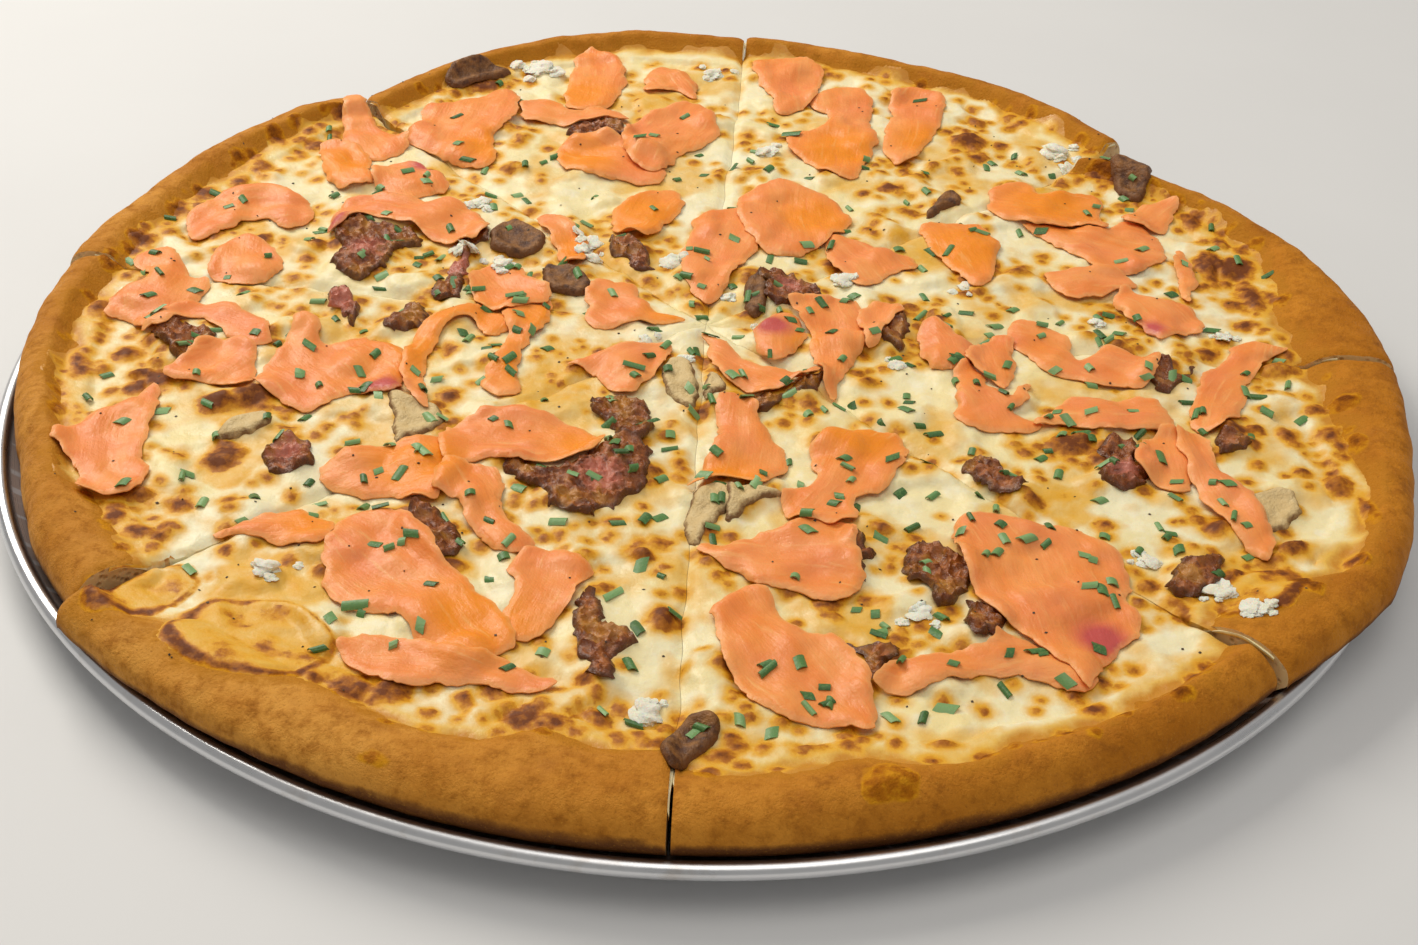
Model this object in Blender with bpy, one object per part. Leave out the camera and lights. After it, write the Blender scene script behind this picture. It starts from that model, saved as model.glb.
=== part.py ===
"""Smoked salmon pizza, cut into eight slices, lying in its round aluminium pan.

Lengths are in millimetres until a mesh is made, and metres after that.
The origin is the middle of the pan's underside, +Z is up and -Y is the near side.
"""
import math
import random

import bmesh
import bpy
import numpy as np
from mathutils import Matrix, Vector, noise
from mathutils.geometry import delaunay_2d_cdt

MM = 0.001

# Pan
SHEET = 1.3
FLOOR_RADIUS = 158.0
RIM_RADIUS = 178.0
RIM_HEIGHT = 10.7
BEAD_RADIUS = 2.0
PAN_SEGMENTS = 64

# Dough and cheese
CUT_CENTRE = (1.0, 15.7)
HALF_CUT = 0.5
DOUGH_BOTTOM = 1.7
DOUGH_TOP = 12.0
THINNEST_DOUGH = 2.2
CRUST_TOP = 22.2
LAYER_GAP = 0.3
CHEESE_TOP = 17.4
RAYS = 8

# Underside of the dough about the pan's middle: (radius, height), up the wall and over the bead
UNDERSIDE = ((156.0, 1.7), (164.6, 3.5), (170.8, 7.0), (176.7, 13.3))

# Start angle, end angle (degrees) of each slice, anticlockwise from +X
SLICES = (
    (-4.5, 41.0),
    (41.4, 87.0),
    (87.0, 132.0),
    (132.7, 174.0),
    (174.4, 223.3),
    (223.8, 269.1),
    (269.1, 312.2),
    (312.6, 355.1),
)

# Radius of the crust about the cut centre: (angle, radius) along each slice
CRUST_EDGE = (
    ((-4.5, 184.0), (5.8, 182.0), (15.4, 178.3), (27.0, 171.0), (36.5, 163.5), (41.0, 158.5)),
    ((41.4, 173.5), (57.8, 181.5), (69.4, 181.5), (80.9, 186.0), (87.0, 187.0)),
    ((87.0, 185.5), (98.4, 191.5), (107.1, 189.5), (117.9, 182.5), (127.0, 174.5), (132.0, 170.0)),
    ((132.7, 173.0), (138.0, 179.0), (148.3, 178.5), (159.6, 177.0), (168.4, 178.5), (174.0, 179.5)),
    ((174.4, 177.5), (183.2, 179.0), (194.7, 179.5), (206.0, 180.5), (214.4, 184.5), (223.3, 187.0)),
    ((223.8, 191.5), (235.0, 192.0), (250.0, 192.0), (262.0, 192.5), (269.1, 192.5)),
    ((269.1, 192.8), (280.0, 191.0), (293.0, 190.3), (301.0, 189.4), (308.0, 188.5), (312.2, 187.8)),
    ((312.6, 188.5), (325.3, 192.0), (332.7, 189.5), (340.4, 186.0), (348.9, 184.0), (355.1, 184.0)),
)

# Width of the bare ledge of crust outside the cheese: (angle, width)
LEDGE = (
    (-5.0, 24.0), (3.0, 27.0), (10.0, 20.0), (16.0, 14.0), (25.0, 12.0), (41.0, 12.0), (78.0, 12.0),
    (93.0, 13.0), (110.0, 12.0), (142.0, 12.0), (150.0, 14.0), (168.0, 14.5), (174.0, 16.0), (180.0, 13.0),
    (190.0, 12.0), (210.0, 12.0), (214.0, 17.0), (223.5, 19.0), (223.8, 12.0), (228.0, 13.0), (232.0, 21.0),
    (245.0, 21.5), (250.0, 18.5), (256.0, 19.5), (260.0, 27.0), (264.0, 23.0), (269.0, 24.5), (269.2, 18.0),
    (282.0, 18.5), (286.0, 14.0), (289.0, 12.0), (292.0, 14.5), (297.0, 12.0), (310.0, 12.0), (312.2, 14.0),
    (312.6, 22.0), (319.0, 23.0), (322.0, 19.0), (325.0, 12.5), (338.0, 12.5), (345.0, 19.0), (355.0, 24.0),
)

# Toppings: outlines seen from above
SALMON_SHEET = 1.5
BACON_SHEET = 2.2
MUSHROOM_SHEET = 2.4
SALMON = (
    # back left
    [[(-50, 72), (-44, 72), (-39, 64), (-34, 55), (-34, 45), (-37, 39), (-41, 45), (-44, 55), (-48, 64)]],
    [[(-27, 62), (-28, 73), (-24, 82), (-16, 91), (-9, 89), (-8, 78), (-13, 66), (-17, 59), (-21, 60)]],
    [[(-46, 185), (-38, 187), (-31, 179), (-29, 168), (-31, 155), (-36, 152), (-44, 152), (-48, 167)]],
    [[(-10, 151), (-4, 151), (1, 142), (2, 130), (-2, 121), (-8, 117), (-10, 107), (-18, 100), (-25, 107),
      (-27, 119), (-25, 133), (-19, 142)],
     [(-47, 115), (-39, 121), (-29, 121), (-20, 116), (-14, 107), (-15, 96), (-24, 96), (-35, 98),
      (-45, 102)]],
    [[(-60, 149), (-52, 151), (-46, 144), (-37, 145), (-29, 143), (-29, 134), (-37, 132), (-48, 132),
      (-60, 135)]],
    [[(-92, 141), (-83, 146), (-73, 153), (-65, 156), (-63, 146), (-64, 132), (-68, 121), (-66, 109),
      (-70, 102), (-78, 104), (-87, 111), (-93, 120), (-93, 130)]],
    [[(-117, 138), (-112, 139), (-107, 130), (-102, 123), (-96, 117), (-96, 109), (-101, 102), (-102, 90),
      (-109, 84), (-115, 90), (-121, 110), (-117, 118), (-117, 127)],
     [(-105, 96), (-93, 101), (-87, 99), (-80, 93), (-78, 87), (-84, 82), (-90, 80), (-104, 88)]],
    [[(-108, 54), (-109, 65), (-105, 74), (-95, 76), (-82, 76), (-72, 75), (-64, 66), (-63, 57), (-67, 50),
      (-78, 54), (-86, 61), (-96, 63), (-103, 61)]],
    # left
    [[(-150, 61), (-146, 72), (-138, 79), (-128, 81), (-117, 74), (-115, 65), (-121, 59), (-129, 63),
      (-137, 58), (-143, 49), (-147, 52)]],
    [[(-138, 40), (-135, 49), (-129, 52), (-123, 47), (-118, 36), (-122, 27), (-130, 28), (-137, 31)]],
    [[(-158, 37), (-153, 43), (-147, 40), (-143, 31), (-136, 27), (-136, 18), (-138, 14), (-130, 15),
      (-122, 11), (-116, 5), (-113, -4), (-119, -6), (-126, 0), (-132, 6), (-138, 5), (-144, 0),
      (-154, 5), (-160, 7), (-158, 18), (-153, 25)],
     [(-129, -4), (-124, 4), (-117, 0), (-114, -15), (-115, -24), (-123, -26), (-131, -25), (-136, -22),
      (-133, -15)]],
    [[(-108, 6), (-102, 5), (-99, -2), (-91, 1), (-85, -2), (-79, -6), (-78, -17), (-79, -28), (-84, -28),
      (-90, -28), (-98, -35), (-107, -30), (-113, -24), (-111, -13), (-109, -2)]],
    [[(-76, -21), (-77, -6), (-73, 10), (-67, 16), (-61, 13), (-67, 7), (-71, -4), (-70, -21), (-67, -34),
      (-72, -30)]],
    [[(-65, 34), (-61, 41), (-56, 44), (-52, 41), (-48, 32), (-42, 28), (-41, 13), (-46, 2), (-47, -12),
      (-46, -22), (-50, -26), (-56, -20), (-54, -9), (-51, 2), (-55, 9), (-59, 17), (-63, 23)]],
    [[(-147, -39), (-141, -33), (-137, -26), (-135, -35), (-134, -46), (-133, -57), (-130, -65),
      (-131, -73), (-138, -76), (-144, -74), (-146, -65), (-150, -61), (-155, -56), (-153, -48)]],
    # middle
    [[(-3, 73), (-5, 62), (-7, 50), (-6, 39), (-3, 30), (1, 25), (5, 31), (8, 39), (11, 46), (16, 54),
      (23, 52), (29, 54), (36, 47), (43, 35), (48, 38), (54, 45), (60, 49), (59, 55), (50, 59), (43, 66),
      (42, 75), (40, 83), (34, 92), (23, 96), (15, 94), (9, 86), (5, 80)]],
    [[(-31, 33), (-20, 33), (-17, 26), (-12, 19), (-4, 16), (-8, 13), (-17, 12), (-25, 10), (-31, 13)]],
    [[(-34, -10), (-25, -3), (-17, 1), (-10, 3), (-8, -3), (-11, -12), (-17, -22), (-22, -22), (-27, -14),
      (-30, -12)]],
    [[(1, 8), (6, 5), (11, -2), (15, -6), (21, -8), (28, -6), (29, 10), (26, 18), (23, 25), (30, 27),
      (39, 28), (48, 27), (53, 27), (53, 20), (48, 12), (44, 6), (41, -1), (37, -12), (33, -17), (23, -18),
      (17, -21), (9, -16), (4, -9), (2, 0)]],
    [[(4, -26), (9, -21), (14, -25), (17, -35), (21, -46), (22, -54), (15, -61), (6, -59), (-2, -64),
      (2, -54), (5, -42), (5, -34)]],
    [[(30, -40), (34, -36), (48, -35), (52, -43), (49, -53), (45, -61), (38, -68), (38, -88), (38, -98),
      (31, -104), (25, -101), (15, -98), (8, -92), (1, -86), (11, -82), (21, -77), (22, -66), (28, -58),
      (28, -49)]],
    # near left
    [[(-90, -61), (-82, -52), (-70, -47), (-62, -43), (-52, -33), (-42, -32), (-33, -36), (-25, -43),
      (-22, -46), (-27, -53), (-40, -56), (-46, -60), (-45, -73), (-42, -80), (-36, -86), (-41, -90),
      (-47, -86), (-52, -80), (-55, -72), (-61, -68), (-72, -69), (-82, -69)]],
    [[(-109, -87), (-103, -82), (-98, -77), (-93, -75), (-87, -78), (-84, -82), (-85, -88), (-91, -90),
      (-99, -88)]],
    [[(-82, -84), (-79, -78), (-71, -76), (-65, -80), (-59, -88), (-53, -97), (-46, -103), (-42, -98),
      (-41, -92), (-35, -88), (-27, -90), (-22, -95), (-25, -101), (-29, -114), (-35, -120), (-40, -123),
      (-33, -129), (-30, -133), (-45, -134), (-57, -136), (-67, -133), (-74, -124), (-67, -120),
      (-64, -115), (-71, -112), (-79, -108), (-83, -95)]],
    # near right
    [[(5, -108), (9, -104), (13, -102), (18, -104), (21, -109), (27, -114), (32, -115), (37, -124),
      (39, -135), (38, -144), (29, -143), (19, -141), (12, -135), (9, -127), (7, -119)]],
    [[(42, -131), (46, -123), (53, -120), (63, -118), (66, -110), (63, -98), (61, -86), (61, -73),
      (69, -68), (79, -70), (89, -73), (98, -81), (99, -92), (98, -100), (100, -107), (96, -113),
      (89, -122), (85, -130), (79, -129), (71, -126), (61, -127), (53, -130)]],
    # right
    [[(60, 17), (68, 12), (73, 6), (80, 13), (83, 6), (82, -7), (82, -15), (85, -13), (84, -20), (80, -25),
      (84, -30), (82, -33), (74, -33), (66, -31), (66, -19), (67, -6), (62, -6), (58, 4)]],
    [[(82, 17), (86, 21), (93, 18), (98, 11), (100, 3), (109, 9), (116, 5), (121, 0), (116, -11),
      (108, -10), (100, -8), (92, -4), (87, 3), (83, 11)]],
    [[(84, -31), (90, -23), (97, -16), (107, -17), (115, -16), (120, -22), (124, -33), (128, -46),
      (132, -55), (135, -70), (133, -83), (128, -78), (122, -61), (115, -57), (111, -53), (107, -47),
      (112, -35), (105, -33), (99, -33), (92, -31)]],
    [[(156, 10), (144, 12), (138, 3), (133, -2), (128, -15), (126, -27), (130, -30), (133, -28),
      (138, -22), (142, -11), (147, 0), (154, 7)]],
    # back right
    [[(63, 74), (71, 76), (81, 74), (85, 65), (83, 53), (82, 44), (77, 38), (73, 42), (69, 51), (64, 62)]],
    [[(86, 97), (92, 101), (98, 101), (102, 94), (113, 97), (119, 92), (123, 80), (131, 74), (133, 63),
      (131, 54), (124, 50), (116, 49), (116, 40), (103, 36), (97, 44), (104, 52), (102, 65), (94, 74),
      (85, 83)]],
    [[(115, 36), (119, 40), (124, 36), (132, 33), (136, 27), (135, 18), (130, 16), (123, 12), (119, 20),
      (115, 27)]],
    [[(59, 157), (66, 160), (73, 158), (76, 152), (74, 143), (69, 129), (65, 119), (59, 112), (55, 119),
      (55, 131), (58, 145)]],
    [[(14, 183), (21, 185), (32, 184), (37, 178), (37, 169), (44, 166), (52, 160), (53, 152), (51, 140),
      (53, 126), (48, 112), (44, 103), (36, 105), (30, 112), (25, 121), (25, 133), (33, 137), (34, 147),
      (28, 149), (21, 149), (18, 159), (15, 170)]],
)
BACON = (
    [[(-106, 58), (-98, 61), (-88, 59), (-82, 53), (-86, 48), (-88, 41), (-90, 34), (-98, 31), (-103, 36),
      (-104, 47)]],
    [[(-144, -2), (-140, 3), (-136, 3), (-130, 1), (-128, -3), (-131, -8), (-133, -14), (-139, -9)]],
    [[(-27, -28), (-19, -25), (-13, -30), (-12, -41), (-11, -58), (-17, -69), (-25, -75), (-32, -73),
      (-37, -65), (-40, -58), (-30, -50), (-22, -44), (-22, -36)]],
    [[(-24, -103), (-21, -104), (-19, -112), (-14, -116), (-12, -120), (-15, -126), (-16, -133),
      (-19, -133), (-23, -124), (-25, -114)]],
    [[(50, -83), (55, -81), (61, -86), (64, -90), (61, -98), (55, -102), (50, -95), (49, -90)]],
    [[(102, -38), (108, -37), (110, -42), (108, -47), (110, -52), (106, -57), (100, -57), (99, -49)]],
)
MUSHROOM = (
    [[(-61, 61), (-55, 65), (-49, 61), (-46, 55), (-49, 48), (-55, 46), (-61, 50)]],
    [[(-2, -145), (3, -143), (7, -145), (7, -150), (2, -155), (-2, -158), (-4, -153)]],
)

# Bits baked into the cheese: outline and rise above it
BAKED_IN = (
    ([(-27, 57), (-22, 59), (-17, 48), (-15, 41), (-20, 42), (-27, 51)], 2.6),
    ([(19, 28), (24, 32), (30, 36), (35, 36), (36, 30), (31, 24), (24, 24)], 2.4),
    ([(51, 14), (54, 21), (58, 24), (61, 21), (61, 15), (56, 13)], 2.4),
    ([(67, -47), (70, -44), (75, -50), (80, -60), (74, -60), (69, -53)], 2.6),
    ([(108, -96), (111, -87), (118, -84), (122, -84), (119, -92), (113, -97)], 2.2),
    ([(-85, 7), (-81, 13), (-78, 16), (-75, 13), (-76, 8), (-79, 4)], 2.2),
    ([(-104, -54), (-99, -48), (-95, -50), (-92, -56), (-96, -62), (-102, -61)], 2.4),
    ([(117, -5), (122, 1), (126, -1), (130, -2), (127, -7), (121, -13)], 2.2),
    ([(-45, 41), (-40, 40), (-35, 38), (-32, 32), (-34, 27), (-40, 28), (-44, 31)], 2.8),
    ([(-8, -5), (-4, -7), (-2, -14), (-2, -22), (-6, -23), (-10, -14)], 1.8),
    ([(5, -66), (9, -65), (16, -66), (8, -72), (4, -79), (3, -72)], 1.8),
    ([(-77, -32), (-70, -34), (-65, -38), (-70, -44), (-74, -46), (-76, -39)], 1.6),
)

# Chopped chives
CHIVES_PER_SLICE = 8
CHIVE_SIZE = (3.6, 1.7, 1.4)

# Height map used to lay one piece on another
CELL = 0.5
MAP_HALF = 212.0
CELLS = int(2 * MAP_HALF / CELL)
heights = np.zeros((CELLS, CELLS))
rng = random.Random(14)


def ripple(x, y, size, seed):
    """Smooth noise between about -1 and 1 with bumps of the given size."""
    return noise.noise(Vector((x / size, y / size, seed * 7.3)))


def along(table, place):
    """Value of a table of (place, value) rows, read linearly."""
    return float(np.interp(place, [row[0] for row in table], [row[1] for row in table]))


def direction(angle):
    """Unit vector in plan for an angle in degrees."""
    return math.cos(math.radians(angle)), math.sin(math.radians(angle))


def make_object(name, points, faces, colour, roughness, metallic=0.0):
    """Build one closed mesh from points in millimetres and give it its own material."""
    mesh = bpy.data.meshes.new(name)
    mesh.from_pydata([(x * MM, y * MM, z * MM) for x, y, z in points], [], faces)
    mesh.validate()
    body = bmesh.new()
    body.from_mesh(mesh)
    bmesh.ops.triangulate(body, faces=body.faces[:])
    bmesh.ops.recalc_face_normals(body, faces=body.faces[:])
    body.to_mesh(mesh)
    body.free()
    mesh.shade_smooth()
    mesh.set_sharp_from_angle(angle=math.radians(40.0))
    material = bpy.data.materials.new(name + "_material")
    material.use_nodes = True
    shader = material.node_tree.nodes["Principled BSDF"]
    shader.inputs["Base Color"].default_value = (*colour, 1.0)
    shader.inputs["Roughness"].default_value = roughness
    shader.inputs["Metallic"].default_value = metallic
    mesh.materials.append(material)
    obj = bpy.data.objects.new(name, mesh)
    bpy.context.scene.collection.objects.link(obj)
    return obj


# Height map

def stamp(obj):
    """Raise the height map to the top of an object."""
    mesh = obj.data
    mesh.calc_loop_triangles()
    points = np.array([vertex.co[:] for vertex in mesh.vertices]) / MM
    for triangle in mesh.loop_triangles:
        a, b, c = points[list(triangle.vertices)]
        area = (b[0] - a[0]) * (c[1] - a[1]) - (c[0] - a[0]) * (b[1] - a[1])
        if area < 1e-6:
            continue
        low = (np.minimum(np.minimum(a, b), c)[:2] + MAP_HALF) / CELL
        high = (np.maximum(np.maximum(a, b), c)[:2] + MAP_HALF) / CELL
        i0, j0 = np.floor(low).astype(int)
        i1, j1 = np.ceil(high).astype(int) + 1
        x, y = np.meshgrid(np.arange(i0, i1) * CELL - MAP_HALF, np.arange(j0, j1) * CELL - MAP_HALF)
        v = ((x - a[0]) * (c[1] - a[1]) - (c[0] - a[0]) * (y - a[1])) / area
        w = ((b[0] - a[0]) * (y - a[1]) - (x - a[0]) * (b[1] - a[1])) / area
        inside = (v >= -1e-6) & (w >= -1e-6) & (v + w <= 1 + 1e-6)
        z = a[2] + v * (b[2] - a[2]) + w * (c[2] - a[2])
        window = heights[j0:j1, i0:i1]
        np.maximum(window, np.where(inside, z, 0.0), out=window)


def highest(x, y, reach):
    """Greatest stamped height within a distance of a point."""
    i, j = (x + MAP_HALF) / CELL, (y + MAP_HALF) / CELL
    span = int(math.ceil(reach / CELL)) + 1
    i0, j0 = int(round(i)) - span, int(round(j)) - span
    window = heights[j0:j0 + 2 * span + 1, i0:i0 + 2 * span + 1]
    jj, ii = np.mgrid[j0:j0 + 2 * span + 1, i0:i0 + 2 * span + 1]
    near = np.hypot(ii - i, jj - j) * CELL <= reach
    return float(window[near].max())


# Pan

def pan_profile():
    """Section of the pan from the underside, round the bead and back over the floor."""
    bead = []
    for angle in range(-135, 181, 45):
        c, s = direction(angle)
        bead.append((RIM_RADIUS + BEAD_RADIUS * c, RIM_HEIGHT + BEAD_RADIUS * s))
    outside = [(FLOOR_RADIUS, 0.0), (165.2, 1.6), (171.6, 5.1)]
    inside = [(170.8, 6.3), (164.6, 2.9), (FLOOR_RADIUS - 0.5, SHEET)]
    return outside + bead + inside


def build_pan():
    """Turn the section about the upright axis."""
    section = pan_profile()
    count = len(section)
    points = []
    for step in range(PAN_SEGMENTS):
        c, s = direction(360.0 * step / PAN_SEGMENTS)
        points += [(r * c, r * s, z) for r, z in section]
    under = len(points)
    points += [(0.0, 0.0, 0.0), (0.0, 0.0, SHEET)]
    faces = []
    for step in range(PAN_SEGMENTS):
        here, after = step * count, (step + 1) % PAN_SEGMENTS * count
        for k in range(count - 1):
            faces.append((here + k, after + k, after + k + 1, here + k + 1))
        faces.append((under, after, here))
        faces.append((under + 1, here + count - 1, after + count - 1))
    return make_object("pan", points, faces, (0.66, 0.67, 0.69), 0.32, 1.0)


# Slices

def crust_bottom(x, y):
    """Underside of the dough: flat on the floor, up along the wall, level over the bead."""
    return along(UNDERSIDE, math.hypot(x, y))


def dough_top(x, y):
    """Top of the dough under the cheese, raised where the dough passes over the rim."""
    return max(DOUGH_TOP, crust_bottom(x, y) + THINNEST_DOUGH)


def cheese_top(x, y):
    """Uneven top of the melted cheese."""
    return CHEESE_TOP + 0.7 * ripple(x, y, 17.0, 1) + 0.35 * ripple(x, y, 7.0, 2)


def slice_rays(index):
    """Tip of a slice and its rays: (unit vector, edge of the cheese, edge of the crust)."""
    start, end = SLICES[index]
    c, s = direction((start + end) / 2)
    back = HALF_CUT / math.sin(math.radians((end - start) / 2))
    tip = (CUT_CENTRE[0] + back * c, CUT_CENTRE[1] + back * s)
    rays = []
    for step in range(RAYS + 1):
        angle = start + (end - start) * step / RAYS
        u = direction(angle)
        shift = (tip[0] - CUT_CENTRE[0]) * u[0] + (tip[1] - CUT_CENTRE[1]) * u[1]
        edge = along(CRUST_EDGE[index], angle) - shift
        ledge = along(LEDGE, angle if angle >= -5.0 else angle + 360.0)
        rays.append((u, edge - ledge + 1.5 * ripple(angle * 3.0, 0.0, 10.0, 3), edge))
    return tip, rays


def reach_of_circle(tip, u, radius):
    """Distance from the tip, along a ray, to a circle about the middle of the pan."""
    dot = tip[0] * u[0] + tip[1] * u[1]
    return -dot + math.sqrt(dot * dot - tip[0] ** 2 - tip[1] ** 2 + radius ** 2)


def crust_section(tip, u, cheese_edge, edge):
    """Section of the dough along one ray, as (distance, height) from bottom tip to top tip."""
    under = []
    limit = edge - 1.6
    for radius, _ in reversed(UNDERSIDE):
        limit = min(reach_of_circle(tip, u, radius), limit)
        height = crust_bottom(tip[0] + limit * u[0], tip[1] + limit * u[1])
        under.insert(0, (limit, height))
        limit -= 3.0
    x, y = tip[0] + edge * u[0], tip[1] + edge * u[1]
    top = CRUST_TOP + 0.6 * ripple(x, y, 22.0, 4)
    low = crust_bottom(x, y)
    brink = dough_top(tip[0] + cheese_edge * u[0], tip[1] + cheese_edge * u[1])
    return under + [
        (edge - 0.9, low + 0.4),
        (edge, low + 1.8),
        (edge - 0.6, top - 3.4),
        (edge - 3.6, top - 0.9),
        (edge - 8.5, top),
        (min(cheese_edge + 4.5, edge - 10.0), top - 1.6),
        (cheese_edge + 0.4, CHEESE_TOP + 0.6),
        (cheese_edge, brink),
        (cheese_edge * 0.55, DOUGH_TOP),
    ]


def sweep(name, tip, low, high, rays, sections, colour, roughness):
    """Join the sections of neighbouring rays into one wedge with flat cut sides."""
    points = [(*tip, low), (*tip, high)]
    loops = []
    for (u, _, _), section in zip(rays, sections):
        loop = [0]
        for distance, z in section:
            loop.append(len(points))
            points.append((tip[0] + distance * u[0], tip[1] + distance * u[1], z))
        loops.append(loop + [1])
    faces = [tuple(loops[0]), tuple(reversed(loops[-1]))]
    for here, after in zip(loops, loops[1:]):
        for k in range(len(here) - 1):
            quad = (here[k], after[k], after[k + 1], here[k + 1])
            faces.append(tuple(dict.fromkeys(quad)))
    return make_object(name, points, faces, colour, roughness)


def build_crust(index):
    """Dough of one slice with its raised rim."""
    tip, rays = slice_rays(index)
    sections = [crust_section(tip, *ray) for ray in rays]
    name = "crust_%d" % (index + 1)
    return sweep(name, tip, DOUGH_BOTTOM, DOUGH_TOP, rays, sections, (0.54, 0.28, 0.09), 0.75)


def cheese_section(tip, u, cheese_edge, _):
    """Section of the cheese along one ray."""
    end = cheese_edge - LAYER_GAP - 0.1
    brink = dough_top(tip[0] + cheese_edge * u[0], tip[1] + cheese_edge * u[1])
    section = [(end * 0.55, DOUGH_TOP + LAYER_GAP), (end, brink + LAYER_GAP)]
    for share in (1.0, 0.93, 0.84, 0.73, 0.62, 0.51, 0.40, 0.28, 0.16, 0.07):
        x, y = tip[0] + end * share * u[0], tip[1] + end * share * u[1]
        section.append((end * share, cheese_top(x, y) - (0.5 if share == 1.0 else 0.0)))
    return section


def build_cheese(index):
    """Cheese of one slice, before its bits and chives are joined to it."""
    tip, rays = slice_rays(index)
    sections = [cheese_section(tip, *ray) for ray in rays]
    name = "cheese_%d" % (index + 1)
    low = DOUGH_TOP + LAYER_GAP
    return sweep(name, tip, low, cheese_top(*tip), rays, sections, (0.84, 0.70, 0.42), 0.45)


def slice_at(x, y):
    """Number of the slice under a point, and how far the point is inside its cut sides."""
    dx, dy = x - CUT_CENTRE[0], y - CUT_CENTRE[1]
    angle = math.degrees(math.atan2(dy, dx))
    distance = math.hypot(dx, dy)
    for index, (start, end) in enumerate(SLICES):
        a = start + (angle - start) % 360.0
        if a <= end:
            inset = distance * math.sin(math.radians(min(a - start, end - a, 90.0)))
            return index, inset
    return None, 0.0


# Outlines

def rounded(points, step):
    """Closed smooth curve through the points, in even steps."""
    knots = np.array(points, dtype=float)
    curve = []
    for k in range(len(knots)):
        a, b, c, d = (knots[(k + m) % len(knots)] for m in (-1, 0, 1, 2))
        for t in np.linspace(0.0, 1.0, 12, endpoint=False):
            curve.append(0.5 * (2 * b + (c - a) * t + (2 * a - 5 * b + 4 * c - d) * t * t
                                + (3 * b - a - 3 * c + d) * t ** 3))
    curve = np.array(curve + curve[:1])
    run = np.concatenate([[0.0], np.cumsum(np.hypot(*np.diff(curve, axis=0).T))])
    count = max(6, int(round(run[-1] / step)))
    even = np.linspace(0.0, run[-1], count, endpoint=False)
    return np.column_stack([np.interp(even, run, curve[:, 0]), np.interp(even, run, curve[:, 1])])


def inside_outline(x, y, loop):
    """True where a point lies inside a closed outline."""
    inside = False
    for (x0, y0), (x1, y1) in zip(loop, np.roll(loop, -1, axis=0)):
        if (y0 > y) != (y1 > y) and x < x0 + (y - y0) * (x1 - x0) / (y1 - y0):
            inside = not inside
    return inside


def from_edge(x, y, loop):
    """Distance from a point to the nearest side of a closed outline."""
    a = np.asarray(loop)
    b = np.roll(a, -1, axis=0)
    side = b - a
    t = np.clip(((np.array((x, y)) - a) * side).sum(1) / (side ** 2).sum(1), 0.0, 1.0)
    return float(np.hypot(*(a + side * t[:, None] - (x, y)).T).min())


def plan_mesh(outlines, step):
    """Triangles filling the outlines, with points about one step apart."""
    loops = [rounded(outline, step) for outline in outlines]
    points, rings = [], []
    for loop in loops:
        rings.append(list(range(len(points), len(points) + len(loop))))
        points += [tuple(p) for p in loop]
    every = np.concatenate(loops)
    low, high = every.min(0), every.max(0)
    row = 0
    y = low[1]
    while y < high[1]:
        x = low[0] + (step / 2 if row % 2 else 0.0)
        while x < high[0]:
            held = [loop for loop in loops if inside_outline(x, y, loop)]
            if held and min(from_edge(x, y, loop) for loop in loops) > 0.62 * step:
                points.append((x, y))
            x += step
        y += step * 0.866
        row += 1
    verts, _, faces, *_ = delaunay_2d_cdt([Vector(p) for p in points], [], rings, 1, 1e-4)
    return [(v.x, v.y) for v in verts], [tuple(f) for f in faces]


def slab_faces(faces, count):
    """Faces of a solid whose bottom and top points are split alike, count points to a side."""
    solid = [(c, b, a) for a, b, c in faces]
    solid += [(a + count, b + count, c + count) for a, b, c in faces]
    sides = {(face[k - 1], face[k]) for face in faces for k in range(3)}
    solid += [(a, b, b + count, a + count) for a, b in sorted(sides) if (b, a) not in sides]
    return solid


# Toppings

def lay_sheet(name, outlines, thickness, step, lift, colour, roughness):
    """Thin wavy sheet laid on whatever is already there, with both faces split alike."""
    plan, faces = plan_mesh(outlines, step)
    reach = max(math.dist(plan[f[k]], plan[f[k - 1]]) for f in faces for k in range(3)) + 0.6
    loops = [rounded(outline, step) for outline in outlines]
    seed = sum(name.encode())
    bottom, top = [], []
    for x, y in plan:
        edge = min(from_edge(x, y, loop) for loop in loops)
        wave = 0.5 + 0.5 * ripple(x, y, 11.0, seed) + 0.4 * max(0.0, ripple(x, y, 24.0, seed + 1))
        z = highest(x, y, reach) + LAYER_GAP + lift * wave
        bottom.append((x, y, z))
        top.append((x, y, z + thickness * (0.65 if edge < 0.5 else 1.0)))
    obj = make_object(name, bottom + top, slab_faces(faces, len(plan)), colour, roughness)
    stamp(obj)
    return obj


def baked_bit(outline, rise):
    """Low lump whose foot is inside the cheese."""
    plan, faces = plan_mesh([outline], 6.0)
    loop = rounded(outline, 6.0)
    foot = (DOUGH_TOP + CHEESE_TOP) / 2
    points = [(x, y, foot) for x, y in plan]
    for x, y in plan:
        share = 0.45 if from_edge(x, y, loop) < 0.3 else 1.0
        points.append((x, y, cheese_top(x, y) + rise * share + 0.3 * ripple(x, y, 5.0, 9)))
    return make_object("bit", points, slab_faces(faces, len(plan)), (0.4, 0.2, 0.1), 0.5)


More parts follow.
